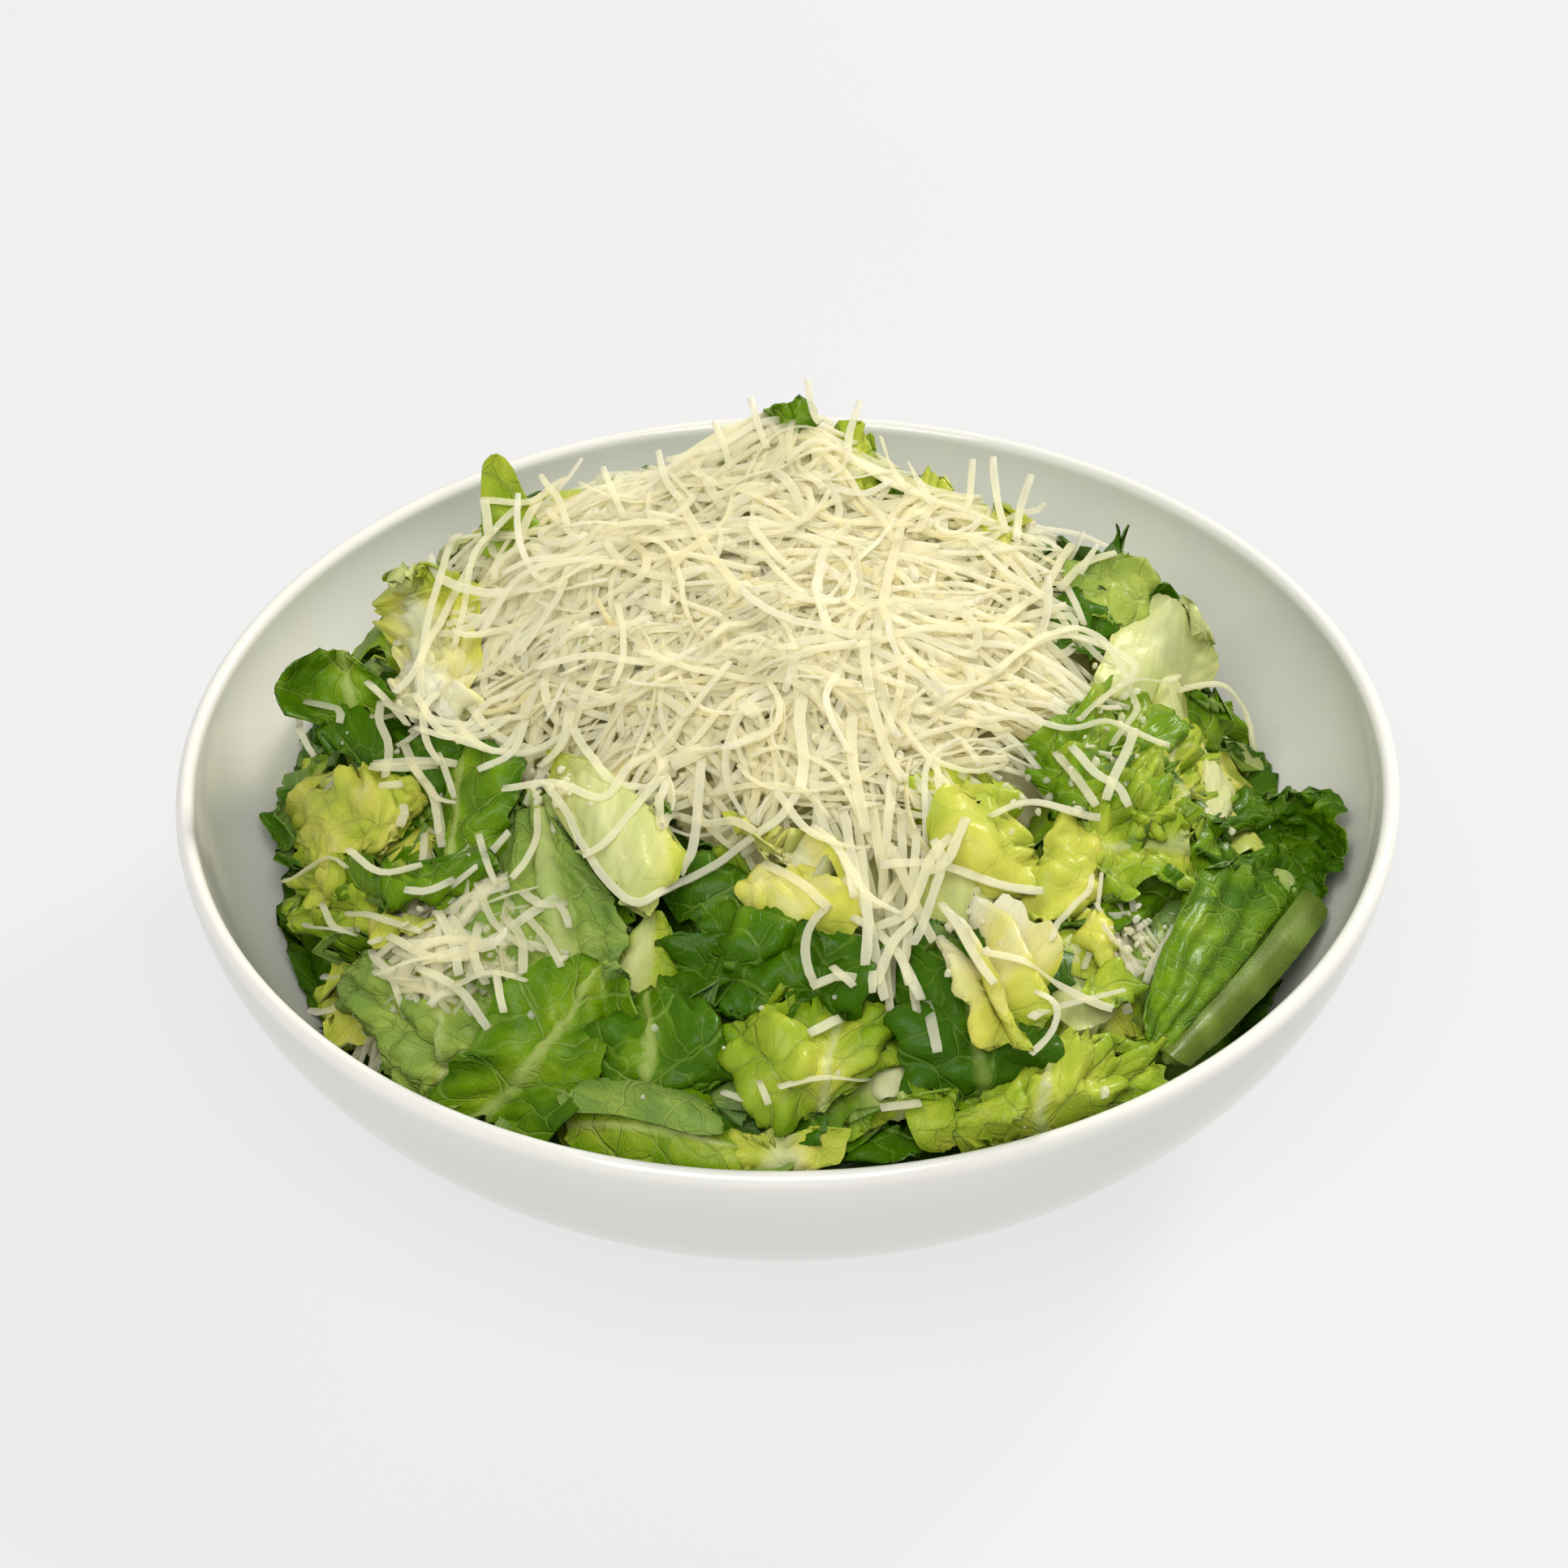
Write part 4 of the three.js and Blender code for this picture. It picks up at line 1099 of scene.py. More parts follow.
ground = np.maximum(cover("bowl"), 0.0)
for points in [*leaf_tops, core_points]:
    np.maximum.at(ground, cells(points[:, 0], points[:, 1]), points[:, 2])
highest = SHRED_LAYER + np.maximum.reduce([
    heap_tops + OVER_LEAVES, cover("cheese_mound"), cover("cheese_clump_left"),
    cover("cheese_clump_right")])


def ribbon_frames(path, roll):
    """Directions across and up from a ribbon along a path, rolled by an angle at each point."""
    along = np.gradient(path, axis=0)
    along = along / np.linalg.norm(along, axis=1, keepdims=True)
    side = np.stack([-along[:, 1], along[:, 0], 0 * along[:, 0]], 1)
    side = side / (np.linalg.norm(side, axis=1, keepdims=True) + 1e-9)
    up = np.cross(along, side)
    turn, lean = np.cos(roll)[:, None], np.sin(roll)[:, None]
    return side * turn + up * lean, up * turn - side * lean


def shred_mesh(path, width, thick, roll, tone, draw):
    """Points, faces and layers of one flat shred along a path of points in mm."""
    across, up = ribbon_frames(path, roll)
    count = len(path)
    half = width / 2 * (1 + 0.05 * draw.normal(0, 1, (count, 2)).clip(-2, 2))
    half[0] *= draw.uniform(0.8, 1.0, 2)
    half[-1] *= draw.uniform(0.8, 1.0, 2)
    deep = up * thick / 2
    ring = np.stack([path + across * half[:, :1] + deep, path - across * half[:, 1:] + deep,
                     path - across * half[:, 1:] - deep, path + across * half[:, :1] - deep], 1)
    start = np.arange(count - 1)[:, None] * 4
    corner = np.arange(4)[None, :]
    after = (corner + 1) % 4
    walls = np.stack([start + corner, start + after, start + 4 + after, start + 4 + corner], -1)
    last = (count - 1) * 4
    ends = [[0, 3, 2, 1], [last, last + 1, last + 2, last + 3]]
    faces = np.concatenate([walls.reshape(-1, 4), ends])
    return ring.reshape(-1, 3), faces, np.full(4 * count, tone)


def dropped(x, y, heading, length, bend, hook, width, draw, lift=(0.0, 0.0), limp=0.3):
    """Lets one shred fall: it rests on the highest spots below it and sags between them.

    A limp one (1) sags more than a stiff one (0), and sinks further when others load it."""
    count = max(5, int(length / STEP) + 1)
    s = np.linspace(-0.5, 0.5, count) * length
    angle = heading + bend * s + hook * s * s
    flat = np.stack([np.cos(angle), np.sin(angle)], 1) * length / (count - 1)
    flat = np.cumsum(flat, 0)
    flat = flat - flat[count // 2] + (x, y)
    across = np.stack([-np.sin(angle), np.cos(angle)], 1)
    spots = [cells(*(flat + across * offset * width).T) for offset in (-0.4, 0, 0.4)]
    floor = np.max([ground[spot] for spot in spots], 0)
    sag = draw.uniform(*SAG) + LIMP_SAG * limp
    rest = (floor[None, :] - sag * (s[:, None] - s[None, :]) ** 2).max(1)
    rest = np.minimum(rest, highest[spots[1]] + draw.uniform(*LAYER_STRAY))
    thick = draw.uniform(*SHRED_THICK)
    near = np.exp(-(np.subtract.outer(s, s) / SOFTENED) ** 2)
    rest = near @ rest / near.sum(1)
    for spot in spots:
        np.maximum.at(ground, spot, rest + thick - (0.4 + 0.5 * limp) * (rest - floor))
    t = s / length
    rest = rest + thick / 2 + lift[0] * (0.5 - t) ** 3 + lift[1] * (0.5 + t) ** 3
    path = np.concatenate([flat, rest[:, None]], 1)
    keep = np.unique(np.linspace(0, count - 1, max(4, int(length / KEPT) + 1)).astype(int))
    roll = draw.normal(0, ROLL) + draw.normal(0, ROLL) * t
    return path[keep], width, thick, roll[keep]


def reach_of(node):
    """A test for whether a spot in mm lies under a CAD body's plan, and the body's box."""
    body = cad_body(node)
    low, high = (np.array(corner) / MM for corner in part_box(node))

    def over(x, y):
        return body.ray_cast(Vector((x * MM, y * MM, OVERHEAD)), Vector((0, 0, -1)))[0] is not None
    return over, low, high


# pixels: the outline that the drift of cheese is seen in, and spots where leaf shows through
DRIFT = [(545, 735), (600, 680), (650, 650), (700, 625), (760, 600), (830, 575), (880, 540),
         (930, 512), (1000, 515), (1050, 560), (1100, 598), (1180, 618), (1240, 640), (1330, 680),
         (1318, 740), (1285, 785), (1340, 800), (1395, 850), (1350, 915), (1325, 960), (1260, 960),
         (1190, 985), (1150, 1030), (1130, 1130), (1095, 1170), (1060, 1120), (1000, 1030),
         (930, 1000), (880, 1040), (840, 1010), (780, 975), (715, 950), (650, 960), (600, 925),
         (560, 910), (500, 925), (480, 870), (540, 820)]
BARE = [((730, 790), 26), ((972, 826), 18), ((1150, 625), 26), ((1068, 575), 22), ((1222, 650), 22),
        ((638, 862), 16), ((1300, 770), 30), ((775, 698), 18), ((900, 610), 10), ((1230, 940), 18)]
DRIFT_FRAY = 14                             # pixels that shreds stray over the outline
BARE_KEPT = 0.3                             # share of shreds that lie over a bare spot all the same
LIE = [0, 30, 10, 35, 60, 75, 90, 130]      # which way shreds lie, every 45 degrees round a drift
LIE_STRAY, MIDDLE_STRAY, MIDDLE_R = 0.4, 0.8, 28    # how much they stray, and more in the middle


def inside_line(spot, line):
    """How many pixels a spot of the picture is inside a closed line, negative outside it."""
    line = np.array(line, float)
    ahead = np.roll(line, -1, 0) - line
    share = np.clip(((spot - line) * ahead).sum(1) / (ahead ** 2).sum(1), 0, 1)
    away = np.linalg.norm(line + share[:, None] * ahead - spot, axis=1).min()
    over = (line[:, 1] > spot[1]) != (np.roll(line[:, 1], -1) > spot[1])
    cross = line[over, 0] + (spot[1] - line[over, 1]) * ahead[over, 0] / ahead[over, 1]
    return away if (cross > spot[0]).sum() % 2 else -away


def shows_cheese(spot, draw, slack):
    """Whether a shred may lie at a spot in mm: in the drift's outline, or slack pixels past
    it, and off the bare spots."""
    pixel = seen_at(np.array(spot))
    if inside_line(pixel, DRIFT) < draw.normal(-slack, DRIFT_FRAY):
        return False
    return all(math.dist(pixel, middle) > radius or draw.uniform() < BARE_KEPT
               for middle, radius in BARE)


def lie_of(x, y, middle):
    """The direction most shreds lie in at a spot of a drift, and how much they stray from it."""
    place = (math.atan2(y - middle[1], x - middle[0]) / (math.pi / 4)) % 8
    lies = [np.exp(2j * LIE[(int(place) + k) % 8] * DEG) for k in (0, 1)]
    lie = np.angle(lies[0] * (1 - place % 1) + lies[1] * (place % 1)) / 2
    away = math.hypot(x - middle[0], y - middle[1])
    return lie, LIE_STRAY + MIDDLE_STRAY * math.exp(-(away / MIDDLE_R) ** 2)


MIDDLE_SLACK, END_SLACK = -6, 22            # pixels that shreds may reach past the drift's outline
ALIGNED, LONGER, CURLED = 0.7, 0.15, 0.15   # shares of shreds that lie along, are long, curl more
SHRED_WIDE, NARROWEST, WIDEST = (1.2, 0.25), 0.75, 1.8    # mm: middle and spread, and limits
HOOK = 0.0016                               # spread of a shred's curve towards its ends
RAISED = 4                                  # mm, spread of how far lifted ends stand up
LOWEST_SHRED = 40                           # mm; the picture is asked about spots no lower


def scatter(node, count, seed, lengths=(16, 50), fray=6.0, curl=0.036, lifted=0.25,
            tones=(0.3, 0.15), limp=0.5):
    """Shreds strewn over a CAD body's plan, thinning out over fray mm at its edge.

    curl is how much they bend per mm, lifted the share of them with raised ends, and tones
    the middle and spread of their colour."""
    draw = np.random.default_rng(seed)
    over, low, high = reach_of(node)
    middle = (low + high) / 2
    shreds = []
    while len(shreds) < count:
        x, y = draw.uniform(low[0], high[0]), draw.uniform(low[1], high[1])
        if not over(x, y) or not over(x + draw.normal(0, fray), y + draw.normal(0, fray)):
            continue
        lie, stray = lie_of(x, y, middle)
        heading = lie + draw.normal(0, stray) * (1 if draw.uniform() < ALIGNED else 3)
        usual = draw.uniform() < 1 - LONGER
        length = draw.uniform(*lengths) if usual else lengths[1] * draw.uniform(1, 1.4)
        bend = draw.normal(0, curl) * (2.5 if draw.uniform() < CURLED else 1)
        reach = length / 2 * np.array([math.cos(heading), math.sin(heading)])
        if node == "cheese_mound":
            here = np.array([(x, y), (x - reach[0], y - reach[1]), (x + reach[0], y + reach[1])])
            height = np.maximum(ground[cells(here[:, 0], here[:, 1])], LOWEST_SHRED)
            here = np.concatenate([here, height[:, None]], 1)
            slacks = (MIDDLE_SLACK, END_SLACK, END_SLACK)
            if not all(shows_cheese(spot, draw, slack) for spot, slack in zip(here, slacks)):
                continue
        width = float(np.clip(draw.normal(*SHRED_WIDE), NARROWEST, WIDEST))
        lift = (0, 0)
        if draw.uniform() < lifted:
            lift = (max(0, draw.normal(0, RAISED)), max(0, draw.normal(0, RAISED)))
        hook = draw.normal(0, HOOK)
        path, width, thick, roll = dropped(x, y, heading, length, bend, hook, width, draw, lift, limp)
        tone = float(np.clip(draw.normal(*tones), 0, 1))
        shreds.append(shred_mesh(inside_bowl(path, slack=1.5), width, thick, roll, tone, draw))
    return shreds


HIGHEST_SPOT = 110                          # mm; nothing in the bowl is as high


def on_ground(pixel, lift):
    """Where a line of sight meets what lies in the bowl so far, and then lift mm above it."""
    start, line = sight_line(pixel)
    line = line / -line[2]
    drops = np.arange(start[2] - HIGHEST_SPOT, start[2], 0.25)[:, None]
    spots = start + line * drops
    under = spots[:, 2] < ground[cells(spots[:, 0], spots[:, 1])]
    spot = spots[np.argmax(under)] if under.any() else spots[-1]
    return spot + (0, 0, lift)


def smooth_path(knots, step):
    """A curve through knots, with a point every step mm."""
    reach = np.concatenate([[0], np.cumsum(np.linalg.norm(np.diff(knots, axis=0), axis=1))])
    s = np.linspace(0, reach[-1], max(5, int(reach[-1] / step)))
    slope = np.gradient(knots, reach, axis=0)
    i = np.clip(np.searchsorted(reach, s, side="right") - 1, 0, len(knots) - 2)
    gap = (reach[i + 1] - reach[i])[:, None]
    t = (s - reach[i])[:, None] / gap
    return (knots[i] * (1 + 2 * t) * (1 - t) ** 2 + knots[i + 1] * t * t * (3 - 2 * t)
            + slope[i] * gap * t * (1 - t) ** 2 - slope[i + 1] * gap * t * t * (1 - t))


LAID_STEP = 1.7                             # mm between the points of a shred laid by itself
LAID_WIDE = 0.75                            # its true width, to the width it was marked with
LAID_SAG = 0.02                             # how sharply it bends down
LAID_OFF = 5                                # mm that it may bridge above what it was marked on
LAID_CLEAR = 0.3                            # mm that it lies clear of what is below
LAID_SOFTENED = 3.0                         # mm over which its bends are smoothed


def laid(pixels, width, draw, rise=0.0):
    """A shred that shows by itself, through pixels: it lies on what is below it.

    rise is how far its last end stands up, in mm."""
    path = smooth_path(np.array([on_ground(pixel, LAID_CLEAR) for pixel in pixels]), LAID_STEP)
    t = np.linspace(0, 1, len(path))
    floor = ground[cells(path[:, 0], path[:, 1])]
    apart = LAID_STEP * np.subtract.outer(np.arange(len(t)), np.arange(len(t)))
    rest = np.minimum((floor[None, :] - LAID_SAG * apart ** 2).max(1), path[:, 2] + LAID_OFF)
    near = np.exp(-(apart / LAID_SOFTENED) ** 2)
    rest = near @ rest / near.sum(1)
    path[:, 2] = rest + LAID_CLEAR + rise * t ** 3
    np.maximum.at(ground, cells(path[:, 0], path[:, 1]), path[:, 2])
    return shred_mesh(inside_bowl(path, slack=1.2), LAID_WIDE * width, draw.uniform(0.35, 0.5),
                      draw.normal(0, 0.15) + draw.normal(0, 0.4) * t, draw.uniform(0.2, 0.5), draw)


def shredded_cheese():
    """Hard ivory cheese: waxy, a little clear where it is thin, whiter or warmer by each piece's tone,
    which strays at random and is set deeper and warmer on the under shreds and cores as painted shade.

    It is mottled over 4 mm, and its crystal grains are 0.5 mm."""
    material, tree, out = new_material("shredded_hard_cheese")
    tone = add(tree, "ShaderNodeAttribute", attribute_name="tone").outputs["Fac"]
    place = add(tree, "ShaderNodeTexCoord").outputs["Object"]
    mottle = add(tree, "ShaderNodeTexNoise", {"Vector": place, "Scale": 1 / 0.004, "Detail": 3.0})
    grain = add(tree, "ShaderNodeTexNoise", {"Vector": place, "Scale": 1 / 0.0005, "Detail": 2.0})
    patchy = add(tree, "ShaderNodeMath", {0: mottle, 1: 0.3, 2: -0.15}, operation="MULTIPLY_ADD")
    shade = add(tree, "ShaderNodeMath", {0: tone, 1: patchy}, operation="ADD")
    # tone 0 is the whitest, 1 the warmest; the deeper tones of the under shreds and cores are painted shade
    colour = add(tree, "ShaderNodeValToRGB", {0: shade}, stops=[
        (0.0, "#FFFDF0"), (0.4, "#FFFCE6"), (0.75, "#FFF8D2"), (1.0, "#FFF2BE")])
    gloss = add(tree, "ShaderNodeValToRGB", {0: mottle}, stops=[(0.3, 0.34), (0.7, 0.5)])
    bump = add(tree, "ShaderNodeBump", {"Strength": 0.35, "Distance": 0.0002, "Height": grain})
    wax = add(tree, "ShaderNodeBsdfPrincipled", {
        "Base Color": colour, "Roughness": gloss, "IOR": 1.45, "Normal": bump})
    through = add(tree, "ShaderNodeBsdfTranslucent", {"Color": colour, "Normal": bump})
    both = add(tree, "ShaderNodeMixShader", {0: 0.55, 1: wax, 2: through})
    clear = add(tree, "ShaderNodeBsdfTransparent", {"Color": "#FFFEF8"})
    seen = add(tree, "ShaderNodeMixShader", {0: 0.42, 1: both, 2: clear})
    tree.links.new(seen.outputs[0], out.inputs["Surface"])
    return material


cheese = shredded_cheese()


def cheese_piece(name, parts, node, creased=True):
    """Joins shreds or crumbs into one piece; a shred's long edges stay crisp."""
    points, faces, tones = join(parts)
    piece = mesh_piece(name, points, faces, cheese, {"tone": tones})
    if creased:
        ends = edge_ends(piece)
        crisp_edges(piece, ends[:, 0] // 4 != ends[:, 1] // 4)
    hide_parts(node)
    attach(piece, "root")


CHEESE_CORE_SHADE_TONE = 0.7                             # painted shade: the cores get a deeper, warmer tone, as they lie in the shade of the shreds
for node, name, drop in (("cheese_mound", "cheese_mound_core", 9.5),
                         ("cheese_clump_left", "cheese_left_core", 2.5),
                         ("cheese_clump_right", "cheese_right_core", 2.0)):
    points, faces = lowered(node, voxel=1.5, drop=drop, inset=6.0, drop_top=False)
    points[:, 2] += 0.8 * waves(points[:, 0], points[:, 1], 5.0, 3)
    np.maximum.at(ground, cells(points[:, 0], points[:, 1]), points[:, 2])
    core = mesh_piece(name, points, faces, cheese, {"tone": np.full(len(points), CHEESE_CORE_SHADE_TONE)})
    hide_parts(node)
    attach(core, "root")

DROPPED = [                                 # piece, node, how many, seed, and how they are
    # painted shade: the under shreds get a deeper, warmer tone than the shreds on top
    ("cheese_under_shreds", "cheese_mound", 120, 21, dict(tones=(0.6, 0.15), limp=1.1)),
    ("cheese_mound_shreds", "cheese_mound", 950, 41, dict(lengths=(24, 62), tones=(0.25, 0.15))),
    ("cheese_left_shreds", "cheese_clump_left", 130, 22,
     dict(lengths=(13, 34), fray=5.0, curl=0.02, lifted=0.5)),
    ("cheese_right_shreds", "cheese_clump_right", 30, 23,
     dict(lengths=(6, 16), fray=3.0, curl=0.03, lifted=0.5)),
]
for name, node, count, seed, how in DROPPED:
    cheese_piece(name, scatter(node, count, seed, **how), node)

draw = np.random.default_rng(31)
SPIKES = [                                  # shreds that stick up: pixels, width and rise in mm
    ([(1240, 660), (1232, 645), (1222, 632)], 1.8, 9), ([(1252, 668), (1262, 650), (1270, 640)], 2.0, 8),
    ([(1120, 620), (1100, 600), (1085, 590)], 1.8, 9), ([(1150, 640), (1130, 618), (1120, 610)], 1.8, 6),
    ([(900, 580), (888, 560), (880, 552)], 1.6, 5), ([(840, 620), (822, 605), (812, 598)], 1.6, 5),
    ([(700, 660), (680, 640), (668, 632)], 1.6, 4), ([(945, 560), (930, 530), (925, 520)], 1.6, 5),
    ([(1010, 545), (1000, 520), (995, 510)], 1.6, 6), ([(1045, 570), (1050, 555), (1060, 548)], 1.8, 6),
    ([(1330, 720), (1345, 705), (1352, 700)], 1.8, 3), ([(1180, 650), (1190, 632), (1198, 622)], 1.6, 7),
    ([(770, 640), (752, 622), (744, 615)], 1.6, 5),
]
LONG_SHREDS = [                             # pixels along each, its width in mm
    # over the left slope
    ([(566, 682), (545, 730), (525, 790), (519, 850), (521, 880)], 1.7),
    ([(640, 625), (575, 720), (535, 790), (505, 850), (488, 880)], 1.8),
    ([(612, 668), (590, 700), (570, 760), (560, 800)], 1.5),
    ([(664, 625), (650, 650), (636, 690)], 2.0),
    ([(592, 628), (640, 628), (700, 622)], 2.0),
    ([(597, 625), (600, 650), (602, 668)], 2.2),
    ([(700, 700), (690, 745), (660, 790), (640, 830)], 1.6),
    ([(740, 650), (700, 690), (650, 710), (620, 735)], 1.8),
    ([(750, 690), (700, 700), (640, 740), (590, 800)], 1.6),
    ([(760, 745), (768, 790), (766, 830), (755, 860)], 1.5),
    ([(773, 665), (810, 680), (836, 710), (845, 760), (860, 790)], 1.6),
    ([(835, 610), (850, 645), (870, 680), (900, 715), (912, 735)], 2.3),
    ([(868, 590), (880, 612), (890, 628)], 2.2),
    ([(922, 645), (945, 680), (975, 705)], 2.1),
    ([(860, 620), (830, 640), (790, 650), (730, 655), (690, 670)], 1.8),
    ([(745, 667), (760, 690), (790, 710), (825, 722)], 1.9),
    ([(820, 700), (822, 730), (818, 760)], 2.2),
    ([(500, 889), (540, 895), (590, 905)], 2.2),
    ([(470, 870), (468, 900), (480, 935), (475, 960)], 2.0),
    ([(498, 925), (515, 955), (535, 1000), (545, 1045)], 2.2),
    ([(456, 952), (500, 952), (540, 945)], 2.2),
    ([(540, 930), (548, 960), (560, 985)], 1.6),
    ([(560, 890), (595, 925), (640, 930), (700, 905)], 1.7),
    ([(640, 855), (600, 875), (570, 900), (540, 915)], 1.7),
    ([(705, 885), (690, 930), (665, 965)], 2.2),
    ([(705, 905), (730, 940), (760, 965), (795, 975)], 2.2),
    ([(620, 985), (680, 990), (740, 985), (790, 965), (830, 925)], 2.0),
    ([(672, 985), (700, 1010), (715, 1060), (750, 1110), (790, 1130), (840, 1120), (900, 1085),
      (950, 1040), (985, 1005)], 1.9),
    ([(815, 960), (780, 1000), (745, 1050), (720, 1090)], 1.8),
    ([(662, 1000), (660, 1050), (645, 1090), (632, 1110)], 1.6),
    ([(865, 940), (862, 1000), (850, 1060), (840, 1115)], 2.2),
    ([(453, 866), (478, 895), (504, 921)], 1.9),
    ([(475, 892), (563, 895), (652, 884)], 2.0),
    ([(460, 951), (512, 943), (563, 943)], 2.0),
    ([(504, 943), (534, 995), (541, 1032)], 1.8),
    ([(563, 906), (615, 928), (644, 906)], 1.7),
    ([(512, 870), (541, 914), (600, 928)], 1.8),
    ([(630, 884), (600, 914), (563, 943)], 1.7),
    ([(523, 980), (541, 1002), (563, 991)], 1.6),
    ([(497, 995), (500, 1032)], 2.0),
    ([(467, 973), (497, 973)], 2.0),
    ([(540, 860), (525, 900), (530, 950), (545, 975)], 1.8),
    ([(600, 900), (560, 925), (515, 930)], 1.8),
    ([(650, 900), (620, 940), (590, 965)], 1.7),
    ([(580, 880), (610, 915), (660, 935)], 1.9),
    # across the middle
    ([(660, 845), (720, 835), (790, 825), (830, 818)], 1.8),
    ([(875, 1010), (920, 985), (965, 975), (1000, 985)], 1.7),
    ([(812, 985), (815, 1020), (840, 1040), (880, 1045), (930, 1030)], 1.9),
    ([(945, 840), (960, 870), (955, 905), (930, 925)], 1.5),
    ([(990, 860), (985, 900), (990, 950), (985, 1000)], 2.6),
    ([(1010, 850), (1040, 845), (1060, 850)], 1.9),
    ([(950, 800), (1010, 802), (1080, 798), (1140, 788), (1200, 792)], 1.6),
    ([(1110, 665), (1095, 715), (1085, 760), (1078, 800)], 2.2),
    ([(1065, 780), (1068, 840), (1080, 900), (1105, 950), (1115, 965)], 2.4),
    ([(1112, 810), (1108, 860), (1095, 900), (1085, 925)], 1.8),
    ([(1035, 830), (1018, 870), (1025, 910), (1050, 940)], 1.7),
    ([(1050, 880), (1050, 930), (1056, 980), (1068, 1040)], 2.5),
    ([(1140, 830), (1165, 855), (1200, 850), (1225, 835)], 1.5),
    ([(1320, 700), (1290, 735), (1250, 765), (1215, 795)], 1.9),
    ([(1230, 830), (1270, 805), (1320, 800), (1370, 825), (1397, 850), (1380, 875), (1330, 890)], 1.9),
    ([(1225, 840), (1245, 815), (1300, 795), (1350, 815), (1390, 850), (1400, 890), (1370, 920)], 1.6),
    ([(1110, 925), (1170, 900), (1240, 895), (1310, 905), (1370, 920), (1440, 952)], 1.9),
    ([(1300, 935), (1330, 970), (1350, 1015)], 2.0),
    ([(1320, 925), (1350, 960), (1380, 1000), (1390, 1030)], 2.0),
    ([(1397, 912), (1385, 950), (1370, 985), (1362, 1020)], 2.2),
    ([(1290, 760), (1320, 770), (1325, 790)], 1.7),
    ([(1310, 720), (1325, 750), (1335, 785)], 1.8),
    ([(1375, 690), (1340, 705), (1305, 735)], 2.0),
    # the tail that runs down in front
    ([(1055, 1010), (1062, 1080), (1080, 1150), (1097, 1250)], 2.0),
    ([(1075, 1000), (1085, 1090), (1105, 1170), (1130, 1250)], 2.2),
    ([(1130, 1050), (1125, 1120), (1115, 1210)], 2.0),
    ([(1100, 960), (1095, 1030), (1090, 1090), (1085, 1140)], 2.4),
    ([(1085, 1085), (1140, 1092), (1220, 1105), (1285, 1125)], 2.2),
    ([(1220, 1008), (1290, 1020), (1355, 1030)], 1.8),
    ([(955, 1000), (1000, 1040), (1050, 1070), (1070, 1080)], 2.0),
    ([(940, 1065), (980, 1090), (1020, 1130)], 2.4),
    ([(1022, 1125), (1000, 1160), (995, 1220), (1003, 1235)], 2.0),
    ([(1160, 1120), (1180, 1160), (1210, 1200), (1225, 1230)], 1.9),
    ([(1210, 1175), (1260, 1210), (1320, 1255), (1370, 1275)], 1.8),
    ([(1275, 1225), (1300, 1260), (1298, 1300), (1270, 1330)], 1.5),
    ([(1270, 1280), (1330, 1265), (1385, 1250)], 2.2),
    ([(1345, 1080), (1340, 1120), (1320, 1150), (1295, 1170)], 1.4),
    ([(1040, 1010), (1052, 1090), (1075, 1180), (1090, 1240)], 2.2),
    ([(1110, 1010), (1112, 1090), (1100, 1170), (1098, 1235)], 2.0),
    ([(1090, 1100), (1100, 1170), (1120, 1230), (1135, 1255)], 2.6),
    ([(1020, 1030), (1040, 1075), (1070, 1120), (1110, 1160)], 2.0),
    ([(1175, 1030), (1150, 1080), (1115, 1130), (1080, 1160)], 2.2),
    ([(1060, 1060), (1066, 1120), (1070, 1170), (1066, 1200)], 2.4),
    ([(1150, 1040), (1160, 1090), (1140, 1140), (1125, 1190)], 2.2),
    ([(1040, 1090), (1075, 1110), (1120, 1112), (1165, 1090)], 2.0),
    ([(1095, 1060), (1112, 1110), (1140, 1150), (1150, 1180)], 2.2),
    ([(1050, 1140), (1080, 1150), (1110, 1190), (1120, 1220)], 2.0),
    ([(1128, 1140), (1100, 1180), (1085, 1210), (1080, 1240)], 2.2),
    ([(1000, 1020), (1030, 1050), (1050, 1100), (1052, 1130)], 2.0),
    ([(1190, 1010), (1180, 1050), (1165, 1085), (1140, 1110)], 2.2),
    # on the greens at the right and at the front
    ([(1450, 853), (1495, 862), (1530, 900), (1545, 960)], 1.7),
    ([(1452, 852), (1400, 860), (1350, 875)], 1.8),
    ([(1142, 1245), (1152, 1290), (1155, 1332)], 2.4),
    ([(1075, 1200), (1075, 1260)], 1.8),
    ([(997, 1275), (1035, 1268)], 2.2),
    ([(1000, 1245), (1030, 1225), (1055, 1212)], 2.0),
    ([(1025, 1200), (1052, 1245)], 1.8),
    ([(960, 1370), (1010, 1358), (1070, 1365)], 1.8),
    ([(1085, 1385), (1135, 1380)], 2.2),
    ([(935, 1340), (942, 1370), (948, 1398)], 1.5),
    ([(890, 1370), (920, 1358)], 1.6),
    # on the leaves at the left
    ([(375, 866), (405, 872), (420, 890), (420, 912)], 2.0),
    ([(370, 902), (374, 935), (390, 968)], 1.6),
    ([(352, 1120), (385, 1098), (428, 1078)], 1.6),
    ([(378, 1172), (410, 1173), (440, 1172)], 1.8),
    ([(398, 1140), (420, 1155), (445, 1168)], 1.6),
    ([(520, 1210), (560, 1185), (600, 1170)], 2.2),
    ([(540, 1130), (560, 1170), (566, 1215)], 2.2),
    ([(590, 1140), (585, 1190), (600, 1235)], 2.1),
    ([(480, 1180), (540, 1190), (590, 1180)], 2.0),
    ([(560, 1250), (600, 1225), (650, 1210)], 2.2),
    ([(620, 1130), (640, 1160), (645, 1200)], 2.1),
    ([(515, 1215), (560, 1245), (602, 1277)], 2.1),
    ([(465, 1235), (500, 1215), (540, 1195)], 1.8),
    ([(530, 1262), (545, 1240), (565, 1225)], 1.7),
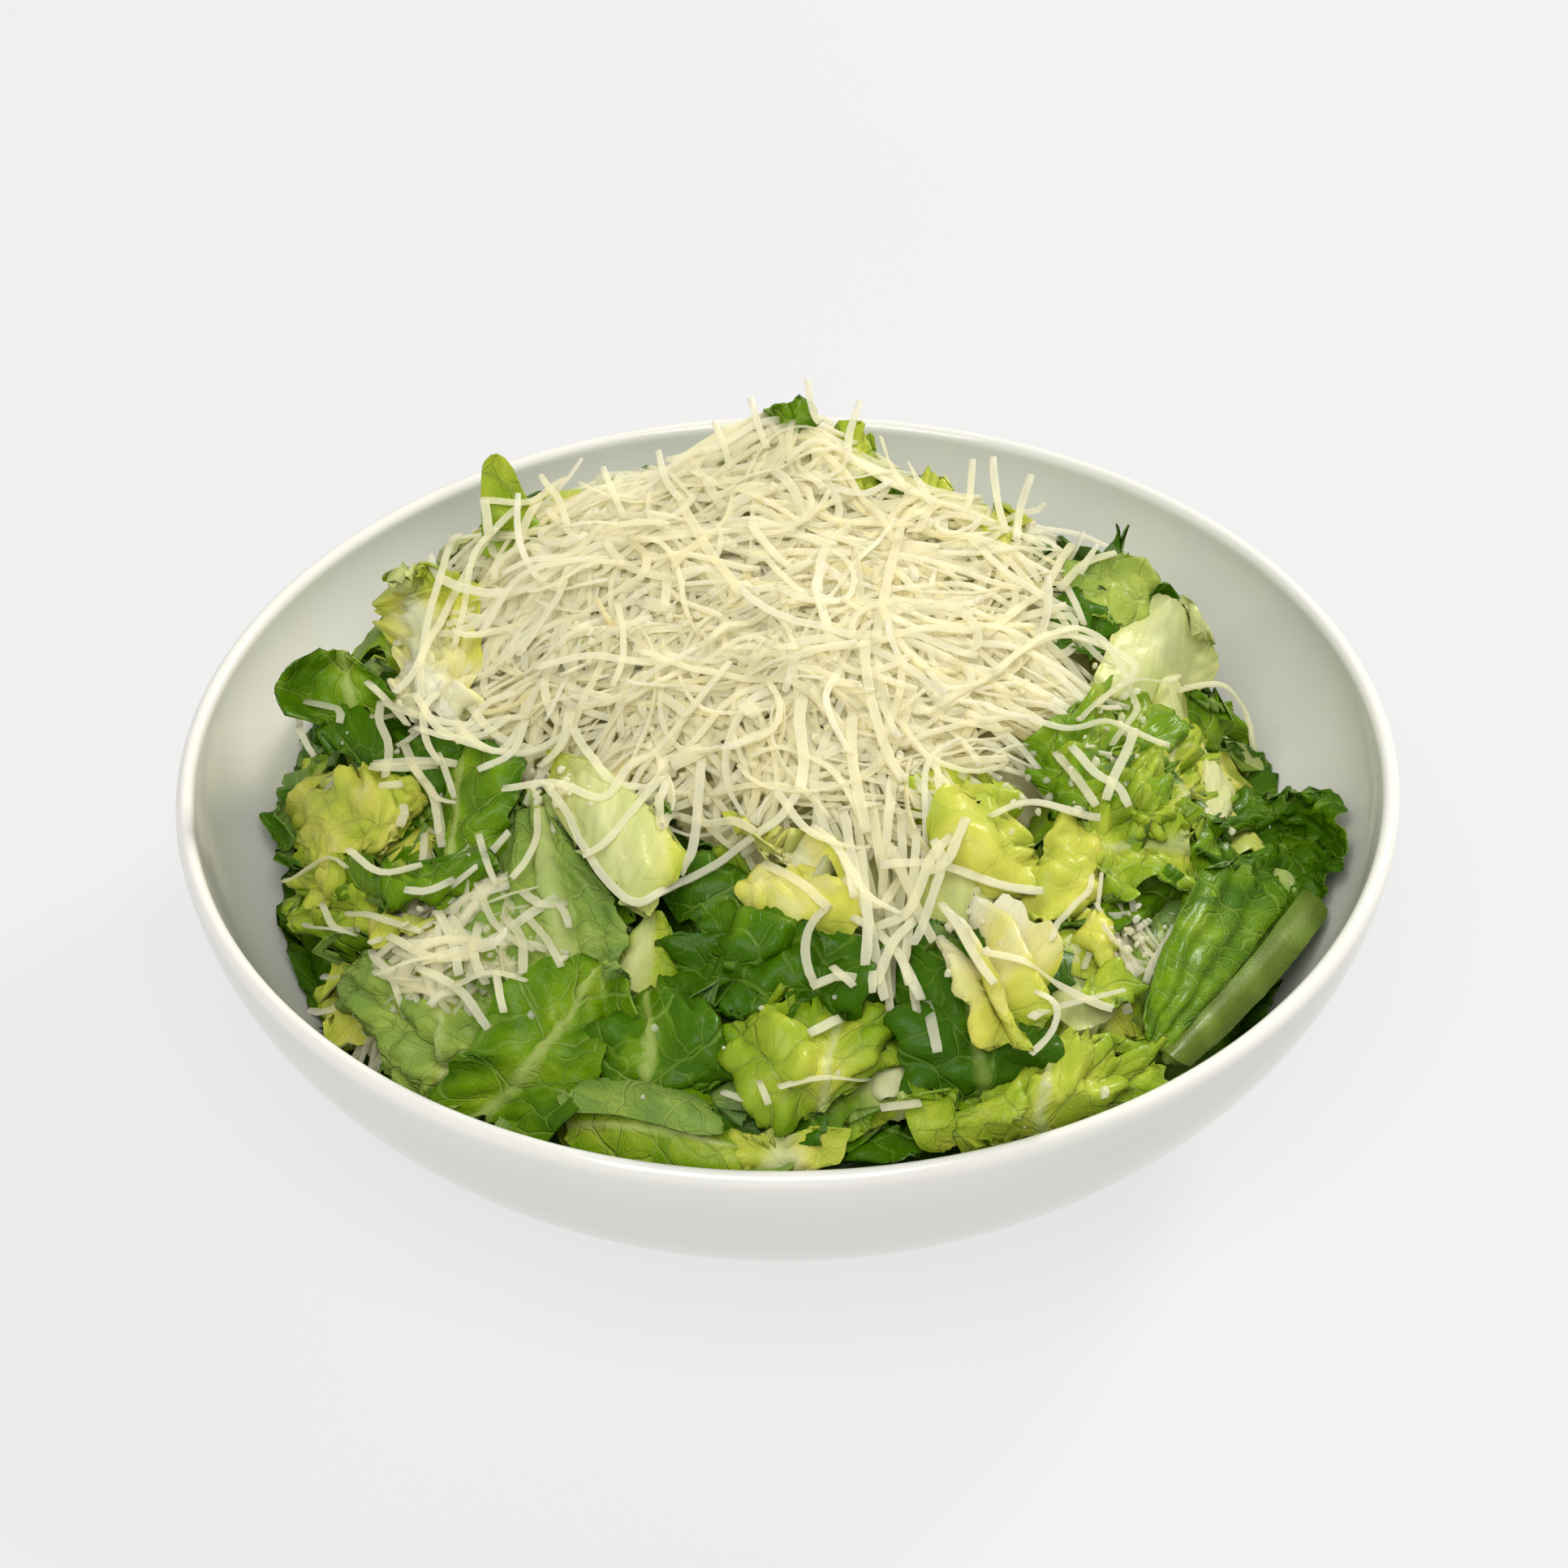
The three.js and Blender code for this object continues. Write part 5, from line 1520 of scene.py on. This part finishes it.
    ([(644, 1113), (672, 1120), (699, 1117)], 2.1),
    ([(685, 1118), (695, 1140), (702, 1162)], 1.8),
    ([(644, 1126), (668, 1166), (692, 1207)], 1.7),
    ([(611, 1198), (616, 1236), (622, 1275)], 1.8),
    ([(500, 1120), (530, 1100), (560, 1090)], 1.7),
    ([(430, 1160), (470, 1150), (520, 1150)], 1.8),
    ([(590, 1035), (600, 1070), (612, 1100)], 1.6),
    ([(430, 1070), (480, 1078), (520, 1068)], 1.8),
    ([(500, 1005), (495, 1055)], 2.2),
]
strays = [laid(pixels, width, draw) for pixels, width in LONG_SHREDS]
strays += [laid(pixels, width, draw, rise) for pixels, width, rise in SPIKES]
cheese_piece("cheese_long_shreds", strays, "cheese_mound")

CRUMBS = [                                  # pixel in the middle, pixels round it, how many
    ((690, 970), 28, 26), ((672, 985), 16, 14), ((620, 1190), 50, 20), ((560, 1150), 60, 10),
    ((1080, 780), 90, 30), ((950, 640), 110, 34), ((1290, 980), 60, 24), ((1390, 1150), 40, 30),
    ((1370, 900), 50, 16), ((1180, 1150), 60, 14), ((850, 850), 160, 50), ((1100, 950), 110, 34),
    ((1230, 720), 90, 28), ((700, 740), 110, 26), ((1290, 850), 70, 22), ((800, 1290), 120, 3),
    ((1000, 1290), 90, 4), ((1300, 1350), 80, 4), ((1500, 1000), 60, 4), ((430, 900), 50, 5),
]
GOLDEN = (1 + math.sqrt(5)) / 2             # a crumb starts as an icosahedron of edge 2
icosahedron = np.array([np.roll((0, a, b * GOLDEN), k)
                        for k in range(3) for a in (-1, 1) for b in (-1, 1)])
apart = np.linalg.norm(icosahedron[:, None] - icosahedron[None], axis=2)
crumb_faces = []
for i, j, k in itertools.combinations(range(12), 3):
    if max(apart[i, j], apart[j, k], apart[i, k]) < 2.1:
        a, b, c = icosahedron[[i, j, k]]
        crumb_faces.append((i, j, k) if np.cross(b - a, c - a) @ a > 0 else (i, k, j))
CHIP_SHARE = 0.16                           # of the crumbs that are short flat chips
CHIP_LONG, CHIP_WIDE = (3, 7), (1.4, 2.6)   # mm, least and most
CRUMB_SIZE = (0.3, 1.0)                     # mm, least and most
CRUMB_R = 1.9                               # the icosahedron's radius

crumbs, chips = [], []
for middle, spread, count in CRUMBS:
    for _ in range(count):
        spot = on_ground(np.array(middle) + draw.normal(0, spread / 2, 2), LAID_CLEAR)
        if draw.uniform() < CHIP_SHARE:
            heading, length = draw.uniform(0, math.pi), draw.uniform(*CHIP_LONG)
            path, width, thick, roll = dropped(spot[0], spot[1], heading, length, 0.0, 0.0,
                                               draw.uniform(*CHIP_WIDE), draw)
            tone = draw.uniform(0, 0.4)
            chips.append(shred_mesh(inside_bowl(path, slack=1.2), width, thick, roll, tone, draw))
            continue
        size = draw.uniform(*CRUMB_SIZE) * draw.uniform(0.7, 1.3, 3)
        turned_by = np.array(Matrix.Rotation(draw.uniform(0, 6), 3, Vector(draw.normal(0, 1, 3))))
        rough = icosahedron / CRUMB_R * draw.uniform(0.7, 1.2, (12, 1)) * size
        crumbs.append((rough @ turned_by.T + inside_bowl(spot, slack=1.5), np.array(crumb_faces),
                       np.full(12, draw.uniform(0, 0.5))))
cheese_piece("cheese_chips", chips, "cheese_mound")
cheese_piece("cheese_crumbs", crumbs, "cheese_mound", creased=False)
